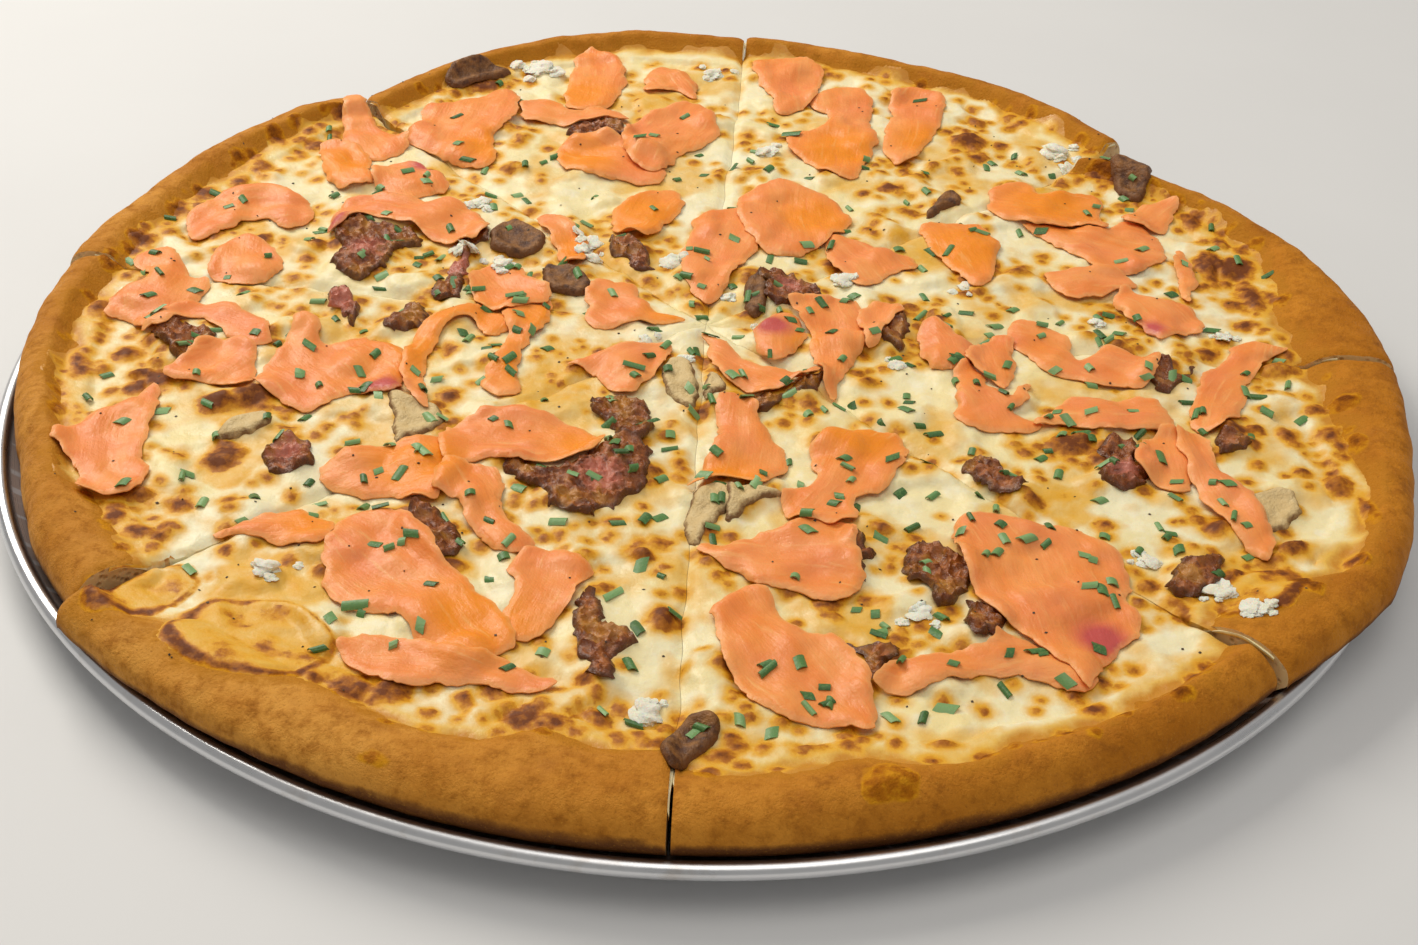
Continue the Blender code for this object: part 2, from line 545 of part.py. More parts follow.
def chive(x, y):
    """Short piece of chive, half sunk in the cheese."""
    length, width, height = (size * rng.uniform(0.85, 1.2) for size in CHIVE_SIZE)
    turn = Matrix.Rotation(rng.uniform(0.0, math.pi), 3, "Z")
    ring = [(0.5, 0.0), (0.25, 0.5), (-0.25, 0.5), (-0.5, 0.0), (-0.25, -0.5), (0.25, -0.5)]
    points = []
    for end in (-0.5, 0.5):
        for across, up in ring:
            p = turn @ Vector((length * (end + 0.12 * up), width * across, height * up))
            points.append((x + p.x, y + p.y, cheese_top(x, y) + 0.25 + p.z))
    faces = [(5, 4, 3, 2, 1, 0), (6, 7, 8, 9, 10, 11)]
    faces += [(k, (k + 1) % 6, 6 + (k + 1) % 6, 6 + k) for k in range(6)]
    return make_object("chive", points, faces, (0.08, 0.2, 0.05), 0.5)


def chive_places(index, outlines):
    """Bare spots of cheese on one slice, clear of the cuts, the crust and every topping."""
    tip, rays = slice_rays(index)
    places = []
    for _ in range(4000):
        u, edge, _ = rays[rng.randrange(1, RAYS)]
        distance = edge * math.sqrt(rng.uniform(0.02, 0.9))
        x = tip[0] + distance * u[0] + rng.uniform(-9.0, 9.0)
        y = tip[1] + distance * u[1] + rng.uniform(-9.0, 9.0)
        if slice_at(x, y)[0] != index or slice_at(x, y)[1] < 4.0:
            continue
        if math.hypot(x - tip[0], y - tip[1]) > edge - 8.0:
            continue
        if any(math.dist((x, y), place) < 7.0 for place in places):
            continue
        if any(from_edge(x, y, loop) < 4.5 or inside_outline(x, y, loop) for loop in outlines):
            continue
        places.append((x, y))
        if len(places) == CHIVES_PER_SLICE:
            break
    return places


def fuse(obj, parts):
    """Join small parts to an object with one Boolean union."""
    group = bpy.data.collections.new("parts")
    bpy.context.scene.collection.children.link(group)
    for part in parts:
        bpy.context.scene.collection.objects.unlink(part)
        group.objects.link(part)
    union = obj.modifiers.new("union", "BOOLEAN")
    union.operation = "UNION"
    union.solver = "EXACT"
    union.operand_type = "COLLECTION"
    union.collection = group
    bpy.context.view_layer.update()
    joined = bpy.data.meshes.new_from_object(obj.evaluated_get(bpy.context.evaluated_depsgraph_get()))
    obj.modifiers.clear()
    obj.data = joined
    for part in parts:
        bpy.data.objects.remove(part, do_unlink=True)
    bpy.data.collections.remove(group)


def build():
    """Make every node in the order in which the pieces lie on each other."""
    for old in list(bpy.data.objects):
        bpy.data.objects.remove(old, do_unlink=True)
    build_pan()
    laid = [rounded(loop, 6.0) for group in SALMON + BACON + MUSHROOM for loop in group]
    laid += [rounded(loop, 6.0) for loop, _ in BAKED_IN]
    bits = [baked_bit(*row) for row in BAKED_IN]
    homes = [slice_at(*np.mean(loop, axis=0))[0] for loop, _ in BAKED_IN]
    for index in range(len(SLICES)):
        stamp(build_crust(index))
        cheese = build_cheese(index)
        parts = [bit for bit, home in zip(bits, homes) if home == index]
        parts += [chive(*place) for place in chive_places(index, laid)]
        fuse(cheese, parts)
        stamp(cheese)
    for k, group in enumerate(MUSHROOM):
        lay_sheet("mushroom_%d" % (k + 1), group, MUSHROOM_SHEET, 6.0, 0.6, (0.26, 0.15, 0.07), 0.6)
    for k, group in enumerate(BACON):
        lay_sheet("bacon_%d" % (k + 1), group, BACON_SHEET, 6.0, 1.4, (0.32, 0.08, 0.04), 0.4)
    for k, group in enumerate(SALMON):
        lay_sheet("salmon_%02d" % (k + 1), group, SALMON_SHEET, 7.5, 1.2, (0.83, 0.33, 0.14), 0.4)


build()
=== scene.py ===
"""Looks of a smoked salmon pizza, cut into eight slices, in its round aluminium pan.

Lengths are in millimetres until a mesh is made, and metres after that.
The origin is the middle of the pan's underside, +Z is up and -Y is the near side.
"""
import math

import bpy
import numpy as np
from mathutils import Matrix, Vector
from mathutils.geometry import delaunay_2d_cdt


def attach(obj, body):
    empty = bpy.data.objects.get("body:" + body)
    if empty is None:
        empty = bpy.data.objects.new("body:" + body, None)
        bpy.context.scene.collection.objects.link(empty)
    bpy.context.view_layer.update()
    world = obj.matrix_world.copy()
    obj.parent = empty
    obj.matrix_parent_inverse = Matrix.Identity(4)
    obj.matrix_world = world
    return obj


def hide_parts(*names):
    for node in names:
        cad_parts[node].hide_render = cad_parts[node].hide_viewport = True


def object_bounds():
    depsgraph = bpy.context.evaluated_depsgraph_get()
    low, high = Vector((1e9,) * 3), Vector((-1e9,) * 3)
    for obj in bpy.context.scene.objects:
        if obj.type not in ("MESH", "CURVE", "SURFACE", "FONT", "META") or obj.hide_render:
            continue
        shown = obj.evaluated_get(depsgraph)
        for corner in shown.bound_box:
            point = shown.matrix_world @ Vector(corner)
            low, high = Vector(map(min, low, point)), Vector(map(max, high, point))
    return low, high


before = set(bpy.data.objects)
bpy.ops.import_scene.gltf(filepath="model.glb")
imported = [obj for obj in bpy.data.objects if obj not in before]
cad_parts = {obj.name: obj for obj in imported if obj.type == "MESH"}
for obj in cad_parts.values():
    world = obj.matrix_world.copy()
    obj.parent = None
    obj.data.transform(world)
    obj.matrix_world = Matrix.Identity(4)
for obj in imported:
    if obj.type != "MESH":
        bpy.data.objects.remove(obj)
CAD_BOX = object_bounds()

MM = 0.001
rng = np.random.default_rng(14)

# Camera
PHOTO_WIDTH = 1418
FOCAL_PIXELS = 1969.4
SENSOR = 36.0
ELEVATION = 0.61973
ROLL = 0.03582
DISTANCE = 505.6
TARGET = (3.28, -30.75, 0.0)

# Pan
SHEET = 1.3
RIM_RADIUS = 178.0
RIM_HEIGHT = 10.7
BEAD_RADIUS = 2.0
PAN_SEGMENTS = 320
# Section of the sheet in two runs, inside and outside, with the bead's lip between: (radius, height)
PAN_INSIDE = (
    (0.0, SHEET), (60.0, SHEET), (120.0, SHEET), (150.0, SHEET), (155.0, 1.35), (158.5, 1.6),
    (162.0, 2.25), (165.2, 3.2), (168.4, 4.6), (171.4, 6.6), (173.8, 8.4), (175.4, 9.8),
)
PAN_OUTSIDE = (
    (176.75, 9.35), (176.35, 9.25), (174.8, 7.7), (172.2, 5.6), (169.2, 3.6), (165.8, 1.9),
    (162.0, 0.75), (158.0, 0.18), (154.0, 0.02), (120.0, 0.02), (60.0, 0.02), (0.0, 0.02),
)
# Where the inner wall is painted: partly baked-on residue, partly a painted reflection of the crust, with
# painted white highlight streaks
WALL_RADII = (156.0, 175.6)

# Dough and cheese
CUT_CENTRE = (1.0, 15.7)
HALF_CUT = 0.5
DOUGH_TOP = 12.0
# Underside of the dough about the pan's middle: (radius, height)
UNDERSIDE = ((156.0, 1.7), (164.6, 3.5), (170.8, 7.0), (176.7, 13.3))
CRUST_TOP = 22.2
SHOULDER = 8.5
# Rise of the crust's outermost line over its underside, and height of the crust where the cheese begins
EDGE_RISE = 1.6
CRUST_FOOT = 17.9
# Width of the finely divided band of crust, mean radius for lengths along the crust, levels on a cut side
CRUST_BAND = 38.0
MEAN_RADIUS = 180.0
SIDE_LEVELS = 6
CHEESE_TOP = 17.4
CHEESE_BOTTOM = 12.3
CRUST_STEP = 1.0
CHEESE_STEP = 0.88
SEAM_DEPTH = 1.2
HALF_SEAM = 0.04
# How far the cheese goes over the bare ledge: on a slice where it spills, on the others, and what stays bare
SPILL_REACH = 17.0
CHEESE_REACH = 8.0
LEAST_BARE = 4.5
# Angle at which the tables of the whole edge begin
TABLE_START = -5.0

# Start angle, end angle (degrees) of each slice, anticlockwise from +X
SLICES = (
    (-4.5, 41.0),
    (41.4, 87.0),
    (87.0, 132.0),
    (132.7, 174.0),
    (174.4, 223.3),
    (223.8, 269.1),
    (269.1, 312.2),
    (312.6, 355.1),
)

# Radius of the crust about the cut centre: (angle, radius) along each slice
CRUST_EDGE = (
    ((-4.5, 184.0), (5.8, 182.0), (15.4, 178.3), (27.0, 171.0), (36.5, 163.5), (41.0, 158.5)),
    ((41.4, 173.5), (57.8, 181.5), (69.4, 181.5), (80.9, 186.0), (87.0, 187.0)),
    ((87.0, 185.5), (98.4, 191.5), (107.1, 189.5), (117.9, 182.5), (127.0, 174.5), (132.0, 170.0)),
    ((132.7, 173.0), (138.0, 179.0), (148.3, 178.5), (159.6, 177.0), (168.4, 178.5), (174.0, 179.5)),
    ((174.4, 177.5), (183.2, 179.0), (194.7, 179.5), (206.0, 180.5), (214.4, 184.5), (223.3, 187.0)),
    ((223.8, 191.5), (235.0, 192.0), (250.0, 192.0), (262.0, 192.5), (269.1, 192.5)),
    ((269.1, 192.8), (280.0, 191.0), (293.0, 190.3), (301.0, 189.4), (308.0, 188.5), (312.2, 187.8)),
    ((312.6, 188.5), (325.3, 192.0), (332.7, 189.5), (340.4, 186.0), (348.9, 184.0), (355.1, 184.0)),
)

# Width of the bare ledge of crust outside the cheese: (angle, width)
LEDGE = (
    (-5.0, 24.0), (3.0, 27.0), (10.0, 20.0), (16.0, 14.0), (25.0, 12.0), (41.0, 12.0), (78.0, 12.0),
    (93.0, 13.0), (110.0, 12.0), (142.0, 12.0), (150.0, 14.0), (168.0, 14.5), (174.0, 16.0), (180.0, 13.0),
    (190.0, 12.0), (210.0, 12.0), (214.0, 17.0), (223.5, 19.0), (223.8, 12.0), (228.0, 13.0), (232.0, 21.0),
    (245.0, 21.5), (250.0, 18.5), (256.0, 19.5), (260.0, 27.0), (264.0, 23.0), (269.0, 24.5), (269.2, 18.0),
    (282.0, 18.5), (286.0, 14.0), (289.0, 12.0), (292.0, 14.5), (297.0, 12.0), (310.0, 12.0), (312.2, 14.0),
    (312.6, 22.0), (319.0, 23.0), (322.0, 19.0), (325.0, 12.5), (338.0, 12.5), (345.0, 19.0), (355.0, 24.0),
)

# Toppings: outlines seen from above, lowest first, each a row of x, y, x, y and so on
SALMON_SHEET = 1.3
SALMON = (
    # back
    (-50, 72, -44, 72, -39, 64, -34, 55, -34, 45, -37, 39, -41, 45, -44, 55, -48, 64),
    (-27, 62, -28, 73, -24, 82, -16, 91, -9, 89, -8, 78, -13, 66, -17, 59, -21, 60),
    (-46, 185, -38, 187, -31, 179, -29, 168, -31, 155, -35, 146, -44, 144, -48, 151, -48, 167),
    (-21, 175, -15, 178, -8, 172, -5, 163, -6, 156, -12, 161, -21, 158, -23, 165),
    (-47, 116, -39, 121, -29, 121, -20, 116, -14, 107, -15, 96, -24, 96, -35, 98, -45, 102),
    (-10, 151, -4, 151, 1, 142, 2, 130, -2, 121, -8, 117, -12, 107, -18, 100, -25, 107, -27, 119, -25, 133,
     -19, 142),
    (-62, 149, -52, 151, -46, 142, -37, 144, -29, 142, -27, 135, -37, 132, -48, 132, -60, 135),
    (-92, 141, -83, 146, -73, 153, -65, 156, -62, 146, -64, 132, -68, 121, -66, 109, -70, 102, -78, 104,
     -87, 111, -95, 118, -93, 130),
    (-117, 138, -112, 139, -107, 130, -102, 123, -95, 118, -95, 109, -101, 104, -108, 106, -114, 116,
     -116, 127),
    (-121, 111, -114, 113, -105, 106, -103, 95, -101, 86, -109, 84, -115, 90, -118, 99),
    (-101, 97, -93, 102, -87, 100, -80, 93, -78, 86, -84, 81, -90, 77, -99, 81),
    (-108, 54, -109, 65, -105, 75, -95, 79, -82, 77, -72, 75, -64, 66, -63, 57, -67, 50, -78, 54, -86, 61,
     -96, 63, -103, 61),
    (63, 74, 71, 76, 81, 74, 85, 65, 83, 53, 82, 44, 77, 38, 73, 42, 69, 51, 64, 62),
    (94, 76, 106, 76, 116, 74, 125, 79, 131, 74, 133, 63, 131, 54, 124, 50, 114, 49, 108, 58, 102, 65),
    (97, 48, 104, 50, 114, 50, 121, 46, 122, 42, 114, 38, 103, 35, 98, 40),
    (115, 36, 119, 40, 124, 36, 132, 33, 136, 27, 136, 18, 130, 16, 123, 12, 119, 20, 115, 27),
    (136, 62, 139, 58, 139, 47, 136, 36, 134, 36, 134, 49),
    (86, 97, 92, 101, 98, 101, 102, 94, 113, 97, 119, 92, 117, 83, 118, 74, 104, 74, 92, 76, 85, 83),
    (123, 79, 129, 88, 136, 91, 141, 90, 139, 83, 133, 74),
    (59, 161, 65, 167, 73, 166, 76, 157, 74, 143, 69, 129, 65, 119, 59, 112, 55, 119, 55, 131, 58, 145),
    (32, 156, 40, 166, 49, 166, 53, 154, 51, 140, 53, 126, 48, 112, 44, 103, 36, 105, 30, 112, 25, 121,
     25, 133, 34, 135, 38, 145),
    (14, 185, 21, 187, 31, 186, 37, 180, 36, 171, 34, 159, 28, 149, 21, 147, 19, 159, 15, 170, 13, 180),
    # left
    (-150, 61, -146, 72, -138, 79, -128, 81, -117, 74, -115, 65, -121, 59, -129, 63, -137, 58, -143, 49,
     -147, 52),
    (-138, 40, -135, 49, -129, 52, -123, 47, -118, 36, -122, 27, -132, 27, -137, 31),
    (-159, 36, -153, 43, -147, 40, -143, 31, -136, 27, -136, 18, -140, 11, -146, 0, -154, 5, -160, 7,
     -158, 18, -153, 25),
    (-147, -2, -144, 7, -138, 14, -130, 15, -122, 11, -116, 5, -113, -4, -119, -6, -126, 0, -132, 6, -138, 5,
     -142, 0),
    (-130, -6, -123, -3, -118, -6, -114, -15, -115, -24, -123, -26, -131, -25, -136, -22, -133, -15),
    (-108, 6, -102, 5, -99, -2, -91, 1, -85, -2, -78, -6, -76, -17, -77, -28, -82, -28, -90, -28, -98, -35,
     -107, -30, -113, -24, -111, -13, -109, -2),
    (-147, -39, -141, -33, -137, -26, -135, -35, -134, -46, -133, -57, -130, -65, -131, -73, -138, -76,
     -144, -74, -146, -65, -150, -61, -155, -56, -153, -48),
    (-109, -87, -103, -82, -98, -77, -93, -75, -87, -78, -83, -82, -84, -89, -91, -90, -99, -88),
    (-90, -61, -82, -52, -70, -47, -60, -45, -56, -54, -58, -65, -63, -72, -72, -69, -82, -69),
    # middle
    (-76, -21, -77, -6, -73, 10, -65, 17, -56, 16, -51, 10, -56, 3, -62, 10, -67, 7, -71, -4, -70, -21,
     -67, -34, -72, -30),
    (-54, 16, -48, 24, -43, 24, -41, 13, -46, 2, -47, -12, -46, -22, -50, -26, -56, -20, -54, -9, -51, 2),
    (-65, 34, -61, 41, -56, 44, -52, 41, -48, 32, -42, 28, -43, 21, -52, 16, -59, 16, -63, 23),
    (-31, 33, -20, 33, -17, 26, -12, 19, -4, 16, -8, 13, -17, 12, -25, 10, -31, 13),
    (-34, -10, -25, -3, -17, 1, -10, 3, -8, -3, -11, -12, -17, -22, -22, -22, -27, -14, -30, -12),
    (35, 64, 43, 64, 50, 59, 59, 55, 60, 49, 54, 45, 48, 38, 43, 35, 39, 42, 35, 51),
    (-3, 73, -5, 62, -7, 50, -6, 39, -3, 30, 1, 25, 5, 31, 8, 39, 11, 46, 15, 57, 19, 66, 21, 76, 11, 80,
     3, 78),
    (9, 85, 15, 94, 23, 96, 34, 92, 40, 83, 42, 73, 36, 62, 29, 55, 23, 53, 16, 55, 12, 64, 9, 75),
    (15, 11, 20, 18, 26, 17, 28, 10, 27, 4, 23, -2, 19, -4, 15, 3),
    (1, 8, 6, 5, 11, -2, 15, -6, 21, -9, 29, -8, 31, -12, 23, -18, 17, -21, 9, -16, 4, -9, 2, 0),
    (23, 26, 30, 27, 39, 28, 44, 22, 44, 10, 41, -1, 37, -12, 34, -21, 31, -11, 29, -1, 29, 10, 26, 18),
    (42, 17, 44, 24, 48, 27, 53, 27, 55, 22, 49, 12, 47, 4, 44, 3),
    (-62, -43, -52, -33, -42, -32, -33, -36, -25, -43, -22, -46, -27, -53, -40, -56, -50, -55, -60, -56),
    (4, -26, 9, -21, 14, -25, 17, -35, 21, -46, 22, -54, 15, -61, 6, -59, -2, -64, 2, -54, 5, -42, 5, -34),
    (1, -86, 11, -82, 21, -77, 29, -73, 37, -77, 38, -88, 38, -98, 31, -104, 25, -101, 15, -98, 8, -92),
    (30, -40, 34, -36, 48, -35, 52, -43, 49, -53, 45, -61, 38, -66, 38, -74, 30, -77, 23, -73, 21, -64,
     29, -58, 28, -49),
    # near
    (-60, -56, -52, -58, -46, -60, -45, -73, -42, -80, -36, -86, -41, -90, -47, -86, -52, -80, -55, -72,
     -62, -67),
    (-41, -93, -35, -88, -27, -90, -22, -95, -25, -101, -29, -114, -35, -120, -40, -114, -39, -103),
    (-82, -84, -79, -78, -71, -76, -65, -80, -59, -88, -53, -97, -46, -105, -39, -114, -37, -122, -45, -127,
     -55, -125, -63, -114, -71, -112, -79, -108, -83, -95),
    (-75, -124, -67, -120, -59, -122, -49, -125, -41, -126, -33, -129, -27, -133, -33, -137, -45, -134,
     -57, -136, -67, -133),
    (5, -108, 9, -102, 13, -99, 18, -102, 20, -109, 27, -115, 32, -115, 37, -124, 39, -135, 38, -144,
     29, -143, 19, -141, 12, -135, 9, -127, 7, -119),
    (39, -130, 46, -123, 53, -120, 63, -118, 69, -113, 77, -117, 87, -124, 85, -130, 79, -129, 71, -126,
     61, -127, 53, -130, 45, -133),
    (61, -73, 69, -68, 79, -70, 89, -73, 98, -81, 99, -92, 98, -100, 100, -107, 96, -113, 89, -122, 85, -130,
     79, -122, 73, -113, 67, -107, 63, -98, 61, -86),
    # right
    (156, 10, 144, 12, 138, 3, 133, -2, 128, -15, 124, -28, 130, -32, 133, -28, 138, -22, 142, -11, 147, 0,
     154, 7),
    (82, 17, 86, 21, 93, 18, 98, 11, 100, 3, 109, 9, 116, 5, 121, 0, 116, -11, 108, -10, 100, -8, 92, -4,
     87, 3, 82, 11),
    (60, 17, 68, 12, 73, 6, 70, -3, 62, -6, 58, 4),
    (67, -5, 72, -5, 76, -16, 80, -18, 85, -11, 84, -20, 80, -25, 86, -29, 84, -33, 74, -33, 66, -31,
     66, -19),
    (72, 4, 80, 13, 83, 6, 82, -7, 78, -17, 74, -9, 69, -3),
    (84, -31, 90, -23, 97, -16, 107, -17, 115, -16, 120, -22, 120, -30, 112, -32, 105, -33, 99, -33,
     92, -31),
    (107, -47, 112, -35, 120, -30, 121, -37, 121, -52, 115, -57, 111, -53),
    (120, -31, 127, -35, 128, -46, 132, -55, 135, -70, 133, -83, 128, -78, 122, -61, 120, -46),
)
# Where the salmon is a deeper orange, and where it is stained pink: (x, y, radius)
ORANGE = (
    (-36, 50, 9), (-19, 72, 16), (32, 74, 12), (-8, 18, 9), (-43, 12, 8), (-46, -12, 9), (40, -40, 11),
    (8, -60, 10), (74, 58, 18), (102, 88, 15), (68, 128, 12), (40, 120, 15), (-44, 155, 12),
    (-40, 106, 12), (-68, 115, 12), (-112, 97, 12), (-68, 0, 22), (-66, -58, 13), (-88, -82, 8),
    (-46, -114, 14), (28, 4, 5), (-28, -48, 9),
)
BLUSH = ((19, 10, 6), (90, -113, 7), (121, 17, 5), (-86, 99, 6), (-108, 58, 7), (-80, -26, 7))

BACON_SHEET = 2.2
BACON = (
    (-106, 60, -98, 63, -88, 61, -80, 54, -86, 50, -88, 41, -90, 34, -98, 31, -103, 36, -104, 47),
    (-144, -2, -140, 4, -136, 3, -130, 1, -128, -3, -131, -8, -133, -16, -139, -9),
    (-27, 57, -22, 59, -19, 55, -17, 48, -15, 41, -20, 42, -25, 48, -27, 51),
    (16, 39, 21, 42, 28, 38, 32, 35, 31, 27, 27, 28, 23, 24, 19, 24, 17, 30),
    (48, 11, 51, 18, 54, 23, 57, 18, 56, 13, 53, 5, 50, 3, 48, 7),
    (17, -21, 21, -21, 26, -15, 32, -11, 31, -16, 30, -21, 23, -20, 19, -26, 16, -27, 14, -23),
    (-27, -26, -19, -24, -12, -30, -12, -41, -17, -44, -22, -36),
    (-25, -49, -17, -44, -11, -48, -11, -58, -17, -69, -25, -75, -32, -73, -37, -65, -46, -58, -44, -54,
     -33, -56),
    (-65, -73, -59, -76, -54, -82, -52, -88, -56, -93, -61, -88, -66, -84),
    (-24, -103, -21, -103, -19, -114, -14, -116, -12, -120, -15, -126, -16, -133, -19, -133, -23, -124,
     -25, -114),
    (37, -78, 40, -81, 42, -87, 40, -90, 38, -94, 37, -88),
    (50, -83, 55, -81, 61, -86, 65, -90, 61, -98, 55, -102, 50, -95, 49, -90),
    (61, -105, 64, -102, 69, -107, 67, -112, 61, -115),
    (67, -47, 70, -44, 74, -48, 76, -54, 80, -60, 74, -61, 67, -55),
    (102, -36, 108, -36, 110, -40, 106, -46, 112, -45, 110, -51, 106, -57, 100, -57, 99, -51),
    (130, -32, 133, -31, 137, -33, 135, -38, 131, -40, 129, -35),
    (35, -118, 42, -117, 45, -120, 42, -126, 39, -130, 37, -124),
    (108, -96, 111, -87, 118, -84, 122, -83, 119, -92, 113, -97),
    (-65, 63, -62, 54, -67, 48, -66, 32, -69, 21, -74, 23, -71, 34, -69, 45, -67, 54),
    (-85, 7, -81, 14, -78, 18, -73, 14, -75, 9, -79, 4, -83, 4),
    (-103, 21, -99, 26, -94, 16, -92, 12, -94, 8, -97, 13, -100, 16),
    (-104, -54, -99, -48, -96, -50, -92, -56, -96, -62, -102, -61),
    (-43, 130, -35, 132, -27, 130, -26, 123, -33, 121, -37, 117, -43, 119),
    (116, -5, 122, 2, 125, -4, 131, 0, 127, -7, 121, -13, 117, -11),
)
# Where the bacon is pink meat and not browned: (x, y, radius)
PINK = ((-96, 46, 8), (-23, -60, 8), (104, -50, 6), (24, 34, 5), (-98, 17, 7), (-98, -55, 6), (-70, 38, 9))

MUSHROOM_SHEET = 2.0
PALE_SHEET = 1.7
MUSHROOM = (
    (-61, 61, -55, 65, -49, 61, -46, 55, -49, 48, -55, 46, -61, 50),
    (-45, 41, -40, 40, -34, 38, -31, 32, -33, 26, -40, 27, -44, 30),
    (-8, -5, -3, -6, -1, -12, 0, -21, -2, -27, -7, -22, -10, -14),
    (2, -12, 4, -11, 7, -16, 5, -21, 2, -24, 1, -19),
    (5, -60, 9, -64, 8, -71, 3, -78, 1, -84, -2, -77, -1, -69, 1, -62),
    (8, -61, 17, -63, 21, -64, 13, -69, 9, -75, 8, -69),
    (132, -59, 136, -57, 144, -57, 143, -66, 136, -72, 132, -68),
    (-1, -145, 3, -143, 7, -144, 7, -149, 2, -156, -2, -160, -4, -154),
    (124, 111, 130, 113, 135, 109, 134, 99, 129, 92, 124, 99),
    (67, 85, 73, 93, 76, 87, 71, 83, 65, 78),
    (-88, 158, -84, 167, -78, 171, -69, 170, -69, 167, -77, 160, -84, 155),
    (-116, -43, -110, -37, -106, -38, -106, -43, -112, -48, -117, -48),
    (-78, -28, -70, -30, -64, -34, -63, -39, -70, -45, -74, -47, -76, -37),
    (11, 28, 13, 38, 16, 39, 18, 30, 16, 19, 13, 19),
)
# Which mushrooms are pale slices with a thin brown edge
PALE_MUSHROOMS = (2, 3, 4, 5, 6, 11, 12)

# Browned bubbles of cheese: (x, y, half length, half width, turn in degrees)
BUBBLES = (
    (82, 131, 6, 5, 0), (93, -38, 6, 5, 20), (-121, -33, 5, 4, 10), (-112, -29, 6, 5, 30),
    (-114, -55, 6, 5, 80), (124, -90, 5, 4, 30), (-75, 160, 7, 4, 20), (127, 106, 6, 5, 0),
    (61, -152, 2.5, 2.2, 0), (67, -150, 1.7, 1.4, 90), (72, -149, 1.7, 1.5, 0), (78, -145, 2.6, 2.2, 90),
    (83, -147, 1.8, 1.7, 0), (85, -136, 2.8, 2.5, 0), (90, -140, 2.1, 2.1, 0), (103, -134, 3.0, 2.5, 0),
    (108, -126, 2.5, 2.6, 0), (111, -121, 2.0, 1.8, 0), (50, -154, 2.0, 1.7, 0), (53, -148, 2.8, 1.3, 0),
    (26, -150, 3.6, 1.3, 0), (12, -157, 1.9, 1.8, 0), (19, -158, 1.7, 1.3, 0), (5, -160, 2.7, 2.1, 0),
    (10, -148, 1.9, 2.0, 0), (-8, -151, 2.3, 1.5, 90), (-52, -150, 1.8, 1.5, 0), (-60, -149, 1.6, 1.3, 0),
    (-29, -147, 2.7, 1.8, 0), (-77, -135, 2.4, 2.2, 0), (-82, -127, 1.8, 2.0, 0), (-92, -133, 6.0, 2.6, 0),
    (-46, -138, 1.9, 2.1, 0), (-40, -135, 2.8, 2.8, 0), (152, -85, 3.3, 2.6, 90), (139, -97, 3.2, 2.7, 90),
    (133, -94, 2.1, 1.8, 0), (139, -78, 4.2, 3.0, 0), (160, -64, 7.0, 1.6, 90), (149, -46, 2.5, 2.1, 0),
    (141, -28, 2.8, 2.5, 90), (149, -29, 3.2, 2.8, 90), (164, -36, 3.6, 2.3, 90), (165, -19, 3.9, 3.2, 20),
    (159, -29, 4.0, 2.0, 30), (152, 54, 6.5, 6.0, 90), (145, 56, 6.5, 4.6, 90), (153, 38, 9.5, 3.0, 95),
    (144, 80, 3.8, 2.7, 90), (150, 68, 3.6, 2.4, 90), (-160, -16, 3.4, 2.2, 90), (-158, -40, 3.6, 2.0, 90),
    (-153, -50, 2.3, 1.5, 90), (-162, 10, 4.6, 2.4, 80), (-165, 33, 4.0, 2.0, 80), (-160, 47, 4.0, 4.0, 0),
    (-133, -82, 3.4, 2.6, 90), (-132, -73, 5.5, 2.4, 0), (-130, -109, 2.1, 1.8, 0), (-142, -21, 3.5, 2.4, 0),
    (-154, 65, 3.5, 3.1, 0), (-140, 85, 3.8, 2.4, 90),
)
# Golden pools that ran out over the crust: (x, y, half length, half width, turn in degrees)
POOLS = ((-120, -109, 13, 8, 50), (-94, -124, 18, 14, -20), (128, -96, 12, 8, 40))
# Slices where the melted cheese goes far out over the crust
SPILLING = (5, 7)
# Wide golden areas: (x, y, radius)
GOLDEN = ((-95, -103, 19), (-84, -86, 12), (127, -92, 20), (-110, -32, 15), (-112, -60, 9), (86, -62, 12),
          (-22, 50, 14), (-40, -22, 14), (145, 48, 12), (60, 60, 14), (-20, 150, 16), (100, 95, 12),
          (-135, 60, 10), (40, -110, 12), (-70, -130, 10), (110, -20, 10))
# Blisters on the bare crust: (x, y, half length, half width, turn in degrees)
BLISTERS = ((41, -164, 7, 5.5, 95), (-62, -163, 4, 3, 10), (156, -52, 5.4, 3.6, 90), (153, 1, 6, 4.4, 0))
# How much of the crust's paler colour shows, as painted light that makes the rim paler on its lit left and
# darker towards its right: (angle, share), and how high its dark lower edge is: (angle, height)
CRUST_PAINTED_LIGHT = ((-5, 0.1), (90, 0.25), (150, 0.5), (175, 0.6), (222, 0.75), (226, 1.0), (243, 0.9), (258, 0.45),
              (285, 0.2), (355, 0.1))
DARK_EDGE = ((-5, 3.2), (90, 3.0), (180, 3.0), (222, 2.4), (224, 1.0), (236, 1.6), (245, 2.4), (267, 2.6),
             (269, 0.8), (277, 1.0), (284, 2.6), (290, 2.8), (297, 1.8), (303, 1.0), (309, 0.8), (335, 1.8),
             (355, 3.2))
# Small browned spots: tries, width of their soft edge, how far out, greatest half length
SPOT_TRIES = 7200
SPOT_FADE = 4.0
SPOT_RADIUS = 170.0
LARGEST_SPOT = 4.4
